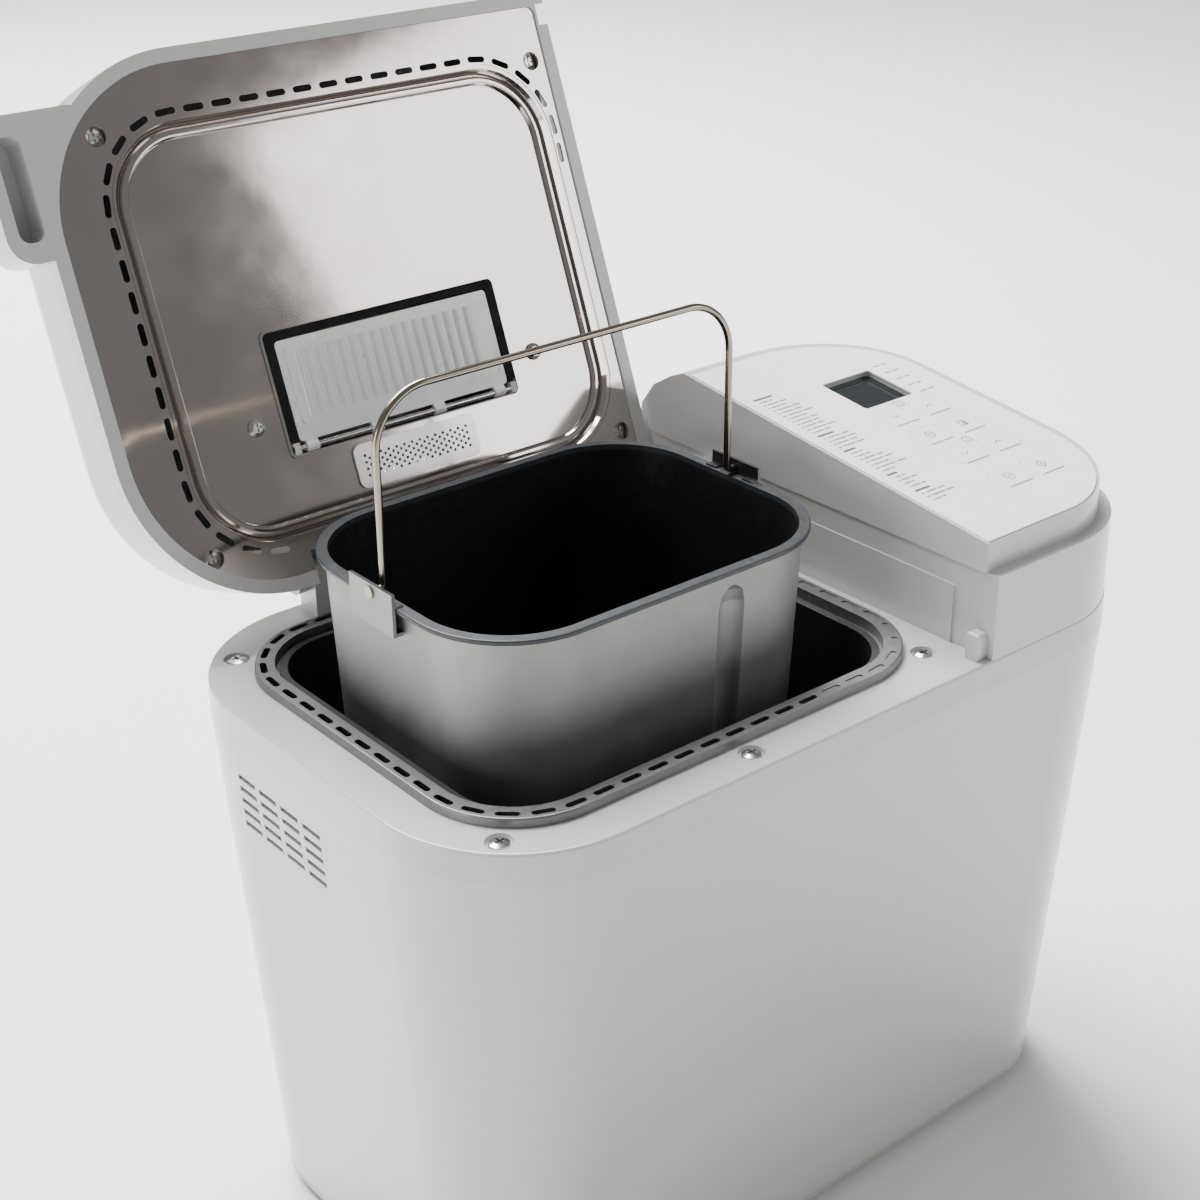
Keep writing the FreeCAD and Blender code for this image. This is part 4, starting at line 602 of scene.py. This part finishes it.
class BREADMAKER_OT_finish_pan(bpy.types.Operator):
    """Gives the pan, its brackets and bail, and the kneading blade their finishes."""
    bl_idname = "breadmaker.finish_pan"
    bl_label = "Finish Pan"

    def execute(self, context):
        chosen = settings(context).finish
        blade = Coating("blade_non_stick", chosen.lining, roughness=0.34)
        blade.worn(260, 0.28, 0.44).textured(1600, 0.00002).tinted(300, 0.8)
        sheet = (chosen.pan_outside, chosen.lining)
        coat_slots({
            "pan_alloy": lined_sheet("pan_metal_and_lining", "pan_body", *sheet, chosen.rim),
            "bracket_alloy": lined_sheet("bracket_metal_and_lining", "pan_brackets", *sheet),
            "bail_wire": polished("bail_wire_steel", (0.36, 0.31, 0.25), 0.17, 0.08),
            "blade_coat": blade.material,
        })
        return {"FINISHED"}


class BREADMAKER_OT_finish_panel(bpy.types.Operator):
    """Gives the panel's skin, keys and display window their finishes."""
    bl_idname = "breadmaker.finish_panel"
    bl_label = "Finish Panel"

    def execute(self, context):
        skin = (0.94, 0.94, 0.93)
        coat_slots({
            "panel_skin": grained("panel_skin", skin, 0.34, 2200, 0.000008),
            "key_caps": grained("key_skin", skin, 0.36, 2200, 0.000008),
            "stop_cap": grained("stop_key_skin", skin, 0.36, 2200, 0.000008),
            "display_glass": smoked_glass("display_glass", (0.06, 0.075, 0.08)),
            "display_dark": grained("display_backing", (0.024, 0.031, 0.035), 0.5, 1800, 0.00001),
        })
        return {"FINISHED"}


# for each group of programmes, its heading's length and the lengths of its rows, in millimetres
PROGRAMME_GROUPS = (
    (13, (9, 15, 12, 18, 16, 20, 13, 17, 15, 14, 19, 12)),
    (11, (17, 18, 16, 17)),
    (8, (8, 10, 15, 18, 12, 20, 9)),
    (7, (8, 12, 7, 11)),
    (10, (15, 18, 9)),
)
# a row's three words: where each starts and how long it is, against the row's length
ROW_WORDS = ((0.0, 0.12), (0.16, 0.5), (0.7, 0.3))
# the lengths of a note's two words, in millimetres
NOTES = ((4.5, 4), (4, 5), (5, 3.5), (4.5, 4), (5, 4))


class BREADMAKER_OT_print_list(bpy.types.Operator):
    """Prints the programme list's rows and the short notes beside the display as plain bars."""
    bl_idname = "breadmaker.print_list"
    bl_label = "Print Programme List"

    def execute(self, context):
        chosen = settings(context).printing
        ink = printed_ink("heading_ink", chosen.ink)
        row_ink = printed_ink("row_ink", chosen.row_ink)
        level = sheet_level("panel_overlay")
        window_low, window_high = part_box("lcd_window")

        def lay_bar(maker, x, y, length, width):
            lay_slab(maker, round_bar(x, y, length * MM, width), level, INK_GAP, chosen.layer)

        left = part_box("panel_overlay")[0].x + LIST_MARGIN
        row_y = window_high.y + LIST_RAISE
        for number, (heading, rows) in enumerate(PROGRAMME_GROUPS, start=1):
            title = bmesh.new()
            lay_bar(title, left, row_y, heading, HEADING_BAR)
            new_piece(f"programme_heading_{number}", title, ink, "casing")
            entries = bmesh.new()
            for length in rows:
                row_y -= chosen.row_pitch
                for start, share in ROW_WORDS:
                    lay_bar(entries, left + ROW_INDENT + length * start * MM, row_y, length * share, ROW_BAR)
            new_piece(f"programme_rows_{number}", entries, row_ink, "casing")
            row_y -= chosen.row_pitch * GROUP_GAP
        notes = bmesh.new()
        note_pitch = (window_high.y - window_low.y - 2 * NOTE_MARGIN) / (len(NOTES) - 1)
        for step, (first, second) in enumerate(NOTES):
            note_x = window_high.x + NOTE_START
            note_y = window_high.y - NOTE_MARGIN - step * note_pitch
            lay_bar(notes, note_x, note_y, first, NOTE_BAR)
            lay_bar(notes, note_x + NOTE_SPACE + first * MM, note_y, second, NOTE_BAR)
        new_piece("display_notes", notes, row_ink, "casing")
        return {"FINISHED"}


# The signs are drawn in millimetres about their own middle: for each stroke, its points and whether it
# closes on itself.

def arrow_sign(up):
    rise = 0.7 if up else -0.7
    return [([(-1.8, -rise), (0, rise), (1.8, -rise)], False)]


def page_sign():
    """A lined page, for the menu."""
    outline = (arc(-1.6, 1.2, 0.6, 180, 90, 4) + arc(1.6, 1.2, 0.6, 90, 0, 4)
               + arc(1.6, -1.2, 0.6, 0, -90, 4) + arc(-1.6, -1.2, 0.6, -90, -180, 4))
    return [(outline, True), ([(-1, 0), (1, 0)], False)]


def clock_sign():
    return [(arc(0, 0, 2.1, 0, 346, 24), True), ([(0, 1.3), (0, 0), (0.9, -0.6)], False)]


def slice_sign():
    """A slice of bread, half of it browned, for the crust."""
    outline = [(-1.7, -1.7), (-1.7, 0.6), *arc(-0.9, 1, 0.9, 180, 60, 6), *arc(0.9, 1, 0.9, 120, 0, 6),
               (1.7, 0.6), (1.7, -1.7)]
    return [(outline, True)] + [([(x, -1.5), (x, 1.2)], False) for x in (0.3, 0.9, 1.5)]


def loaf_sign():
    """A tin loaf, for the size."""
    outline = [(-1.3, -1.8), (-1.6, 0.4), *arc(0, 0.8, 1.6, 180, 0, 12), (1.6, 0.4), (1.3, -1.8)]
    return [(outline, True), ([(-1.2, 0.4), (1.2, 0.4)], False)]


def stop_sign():
    """A circle with two bars, for stop."""
    return [(arc(0, 0, 2.3, 0, 346, 24), True),
            ([(-1.3, 0.4), (1.3, 0.4)], False), ([(-1.3, -0.6), (1.3, -0.6)], False)]


def start_sign():
    """A diamond with a bar, for start."""
    return [([(-2.4, 0), (0, 2.4), (2.4, 0), (0, -2.4)], True), ([(0, -1.2), (0, 1.2)], False)]


KEY_SIGNS = {
    "menu_down": arrow_sign(up=False),
    "menu_up": arrow_sign(up=True),
    "crust": slice_sign(),
    "size": loaf_sign(),
    "timer_down": arrow_sign(up=False),
    "timer_up": arrow_sign(up=True),
    "stop": stop_sign(),
    "start": start_sign(),
}
# signs printed on the panel, each with the two keys that it stands between
SHARED_SIGNS = (
    ("menu_sign", page_sign(), ("menu_down_key", "menu_up_key")),
    ("timer_sign", clock_sign(), ("timer_down_key", "timer_up_key")),
)


class BREADMAKER_OT_print_signs(bpy.types.Operator):
    """Prints the sign on each key, and the menu and timer signs between them."""
    bl_idname = "breadmaker.print_signs"
    bl_label = "Print Key Signs"

    def execute(self, context):
        chosen = settings(context).printing
        ink = printed_ink("sign_ink", chosen.ink)
        stop_ink = printed_ink("stop_sign_ink", chosen.stop_ink)
        level = sheet_level("panel_overlay")

        def print_sign(name, x, y, strokes, material, body):
            maker = bmesh.new()
            scale = MM * chosen.sign_size
            for points, closed in strokes:
                placed = [(x + across * scale, y + along * scale) for across, along in points]
                lay_stroke(maker, placed, chosen.stroke, level, INK_GAP, chosen.layer, closed)
            new_piece(name, maker, material, body)

        for key, strokes in KEY_SIGNS.items():
            low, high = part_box(f"{key}_key")
            x, y = (low.x + high.x) / 2, (low.y + high.y) / 2 + SIGN_RAISE
            finish, slot = (stop_ink, "stop_cap") if key == "stop" else (ink, "key_caps")
            print_sign(f"{key}_sign", x, y, strokes, finish, f"{key}_button")
        for name, strokes, keys in SHARED_SIGNS:
            boxes = [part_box(key) for key in keys]
            x = sum(low.x + high.x for low, high in boxes) / 4
            y = max(high.y for _, high in boxes) + SHARED_SIGN_RAISE
            print_sign(name, x, y, strokes, ink, "casing")
        return {"FINISHED"}


# the seven segments of a digit, from corner to corner of its two stacked squares
SEGMENTS = (
    ((0, 2), (1, 2)), ((0, 1), (1, 1)), ((0, 0), (1, 0)),
    ((0, 1), (0, 2)), ((1, 1), (1, 2)), ((0, 0), (0, 1)), ((1, 0), (1, 1)),
)


class BREADMAKER_OT_build_display(bpy.types.Operator):
    """Lays the display's resting segments under its window."""
    bl_idname = "breadmaker.build_display"
    bl_label = "Build Display"

    def execute(self, context):
        chosen = settings(context).display
        low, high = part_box("lcd_window")
        level = sheet_level("lcd_module")
        ink = printed_ink("segment_ink", chosen.segment)
        square = Vector((chosen.digit_height / 2 * DIGIT_SHARE, chosen.digit_height / 2))
        pitch = square.x + DIGIT_GAP
        corner = Vector(((low.x + high.x - pitch * chosen.digits + DIGIT_GAP) / 2,
                         (low.y + high.y) / 2 - square.y - DIGIT_DROP))
        for digit in range(chosen.digits):
            maker = bmesh.new()
            for ends in SEGMENTS:
                begin, end = (corner + Vector((digit * pitch + x * square.x, y * square.y)) for x, y in ends)
                trim = (end - begin).normalized() * SEGMENT_GAP
                lay_stroke(maker, [begin + trim, end - trim], SEGMENT_WIDTH, level, INK_GAP, SEGMENT_LAYER)
            new_piece(f"display_digit_{digit + 1}", maker, ink, "casing")
        return {"FINISHED"}


def wrap_patch(maker, wall, centre, half_width, half_height, bend, lift, columns=24, rows=14):
    """A round-cornered patch laid on a wall from behind, its edge turned down to the wall."""
    grid = []
    for j in range(rows + 1):
        line = []
        for i in range(columns + 1):
            x = half_width * (2 * i / columns - 1)
            z = half_height * (2 * j / rows - 1)
            over_x, over_z = abs(x) - (half_width - bend), abs(z) - (half_height - bend)
            if over_x > 0 and over_z > 0:
                pull = min(1.0, bend / math.hypot(over_x, over_z))
                x = math.copysign(half_width - bend + over_x * pull, x)
                z = math.copysign(half_height - bend + over_z * pull, z)
            start = Vector((centre[0] + x, BEHIND_WALL, centre[1] + z))
            hit, place, normal, _ = wall.ray_cast(start, Vector((0, -1, 0)))
            if not hit:
                raise RuntimeError(f"the patch at {centre} misses {wall.name}")
            edge = i in (0, columns) or j in (0, rows)
            line.append(maker.verts.new(place + normal * (EDGE_LIFT if edge else lift)))
        grid.append(line)
    for lower, upper in zip(grid, grid[1:]):
        for i in range(columns):
            maker.faces.new((lower[i], lower[i + 1], upper[i + 1], upper[i]))
    for face in maker.faces:
        face.smooth = True


class BREADMAKER_OT_build_label(bpy.types.Operator):
    """Sticks the rating label, with plain bars for its print, on the back wall."""
    bl_idname = "breadmaker.build_label"
    bl_label = "Build Rating Label"

    def execute(self, context):
        chosen = settings(context).label
        wall = NODES["body_shell"]
        foil = Coating("label_foil", (0.56, 0.56, 0.55), metallic=0.6, roughness=0.4)
        foil.worn(240, 0.34, 0.5).textured(420, 0.00001).tinted(90, 0.94)
        base = bmesh.new()
        wrap_patch(base, wall, (chosen.across, chosen.height), chosen.width / 2, chosen.tall / 2,
                   LABEL_CORNER, LABEL_LIFT)
        new_piece("rating_label", base, foil.material, "casing")
        marks = bmesh.new()
        right, top = chosen.width / 2 - LABEL_MARGIN, chosen.tall / 2 - LABEL_MARGIN
        for row, share in enumerate(LABEL_BARS):
            half = right * share
            spot = (chosen.across + right - half, chosen.height + top - row * top * 2 / (len(LABEL_BARS) - 1))
            wrap_patch(marks, wall, spot, half, BAR_HALF, BAR_CORNER, BAR_LIFT, 12, 4)
        new_piece("rating_label_print", marks, printed_ink("label_ink", settings(context).printing.ink),
                  "casing")
        return {"FINISHED"}


class BREADMAKER_OT_build_stage(bpy.types.Operator):
    """Sets the pale floor, the soft lights and the camera."""
    bl_idname = "breadmaker.build_stage"
    bl_label = "Build Stage"

    def execute(self, context):
        chosen = settings(context).stage
        scene = context.scene
        maker = bmesh.new()
        rows = []
        for i in range(FLOOR_STRIPS + 1):
            y = FLOOR_REACH * (2 * i / FLOOR_STRIPS - 1)
            rows.append([maker.verts.new((x, y, 0.0))
                         for x in (-FLOOR_REACH, -FLOOR_MIDDLE, FLOOR_MIDDLE, FLOOR_REACH)])
        for row, following in zip(rows, rows[1:]):
            for j in range(len(row) - 1):
                maker.faces.new((row[j], row[j + 1], following[j + 1], following[j]))
        mesh = bpy.data.meshes.new("studio_floor")
        maker.to_mesh(mesh)
        maker.free()
        floor = bpy.data.objects.new("studio_floor", mesh)
        scene.collection.objects.link(floor)
        paper = Coating("floor_paper", chosen.floor, roughness=0.8)
        paper.worn(40, 0.72, 0.9).textured(300, 0.00003)
        mesh.materials.append(paper.material)
        for name, place, target, size, power in (
                ("back_top_light", (0.1, 1.9, 2.7), (0, 0.4, 0.1), 2.6, chosen.top_light),
                ("left_light", (-1.7, 0.1, 0.42), (-0.2, 0, 0.2), 0.8, chosen.side_light),
                ("front_right_light", (1.35, -1.3, 0.95), (0, 0.15, 0.4), 0.9, chosen.front_light)):
            lamp = bpy.data.lights.new(name, "AREA")
            lamp.shape = "SQUARE"
            lamp.size = size
            lamp.energy = power
            stand = bpy.data.objects.new(name, lamp)
            scene.collection.objects.link(stand)
            stand.location = place
            stand.rotation_euler = (Vector(target) - Vector(place)).to_track_quat("-Z", "Y").to_euler()
        world = bpy.data.worlds.new("studio_air")
        world.use_nodes = True
        air = world.node_tree.nodes["Background"]
        air.inputs["Color"].default_value = (1.0, 1.0, 1.0, 1.0)
        air.inputs["Strength"].default_value = chosen.sky
        scene.world = world

        lens = bpy.data.cameras.new("front_left_camera")
        lens.sensor_width = CAMERA_SENSOR
        lens.lens = CAMERA_LENS
        lens.clip_end = CAMERA_FAR
        camera = bpy.data.objects.new("front_left_camera", lens)
        scene.collection.objects.link(camera)
        forward = Vector(CAMERA_AIM).normalized()
        level_right = forward.cross(Vector((0, 0, 1))).normalized()
        right = Matrix.Rotation(CAMERA_ROLL, 3, forward) @ level_right
        up = right.cross(forward).normalized()
        facing = Matrix((right, up, -forward)).transposed()
        camera.matrix_world = Matrix.Translation(CAMERA_PLACE) @ facing.to_4x4()
        scene.camera = camera
        return {"FINISHED"}


class BreadmakerSettings(bpy.types.PropertyGroup):
    finish: PointerProperty(type=BreadmakerFinishSettings, name="Finishes", description="Surface colours")
    printing: PointerProperty(type=BreadmakerPrintSettings, name="Printing", description="Panel printing")
    display: PointerProperty(type=BreadmakerDisplaySettings, name="Display", description="Display segments")
    label: PointerProperty(type=BreadmakerLabelSettings, name="Label", description="Rating label on the back")
    stage: PointerProperty(type=BreadmakerStageSettings, name="Stage", description="Floor and lights")


OPERATORS = (
    BREADMAKER_OT_finish_casing,
    BREADMAKER_OT_finish_drive,
    BREADMAKER_OT_finish_lid,
    BREADMAKER_OT_finish_pan,
    BREADMAKER_OT_finish_panel,
    BREADMAKER_OT_print_list,
    BREADMAKER_OT_print_signs,
    BREADMAKER_OT_build_display,
    BREADMAKER_OT_build_label,
    BREADMAKER_OT_build_stage,
)


class BREADMAKER_PT_panel(bpy.types.Panel):
    bl_idname = "BREADMAKER_PT_panel"
    bl_label = "Bread Machine"
    bl_space_type = "VIEW_3D"
    bl_region_type = "UI"
    bl_category = "Bread Machine"

    def draw(self, context):
        layout = self.layout
        chosen = settings(context)
        for title, group in (("Finishes", chosen.finish), ("Printing", chosen.printing),
                             ("Display", chosen.display), ("Label", chosen.label),
                             ("Stage", chosen.stage)):
            box = layout.box()
            box.label(text=title)
            for name in group.__annotations__:
                box.prop(group, name)
        for operator in OPERATORS:
            layout.operator(operator.bl_idname)


CLASSES = (
    BreadmakerFinishSettings,
    BreadmakerPrintSettings,
    BreadmakerDisplaySettings,
    BreadmakerLabelSettings,
    BreadmakerStageSettings,
    BreadmakerSettings,
    *OPERATORS,
    BREADMAKER_PT_panel,
)


def register():
    for item in CLASSES:
        bpy.utils.register_class(item)
    bpy.types.Scene.breadmaker = PointerProperty(type=BreadmakerSettings)


def unregister():
    del bpy.types.Scene.breadmaker
    for item in reversed(CLASSES):
        bpy.utils.unregister_class(item)


def main():
    register()
    for node in NODES.values():
        node["breadmaker_slot"] = node.data.materials[0].name
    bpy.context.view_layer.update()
    for operator in OPERATORS:
        group, name = operator.bl_idname.split(".")
        getattr(getattr(bpy.ops, group), name)()


if __name__ == "__main__":
    main()
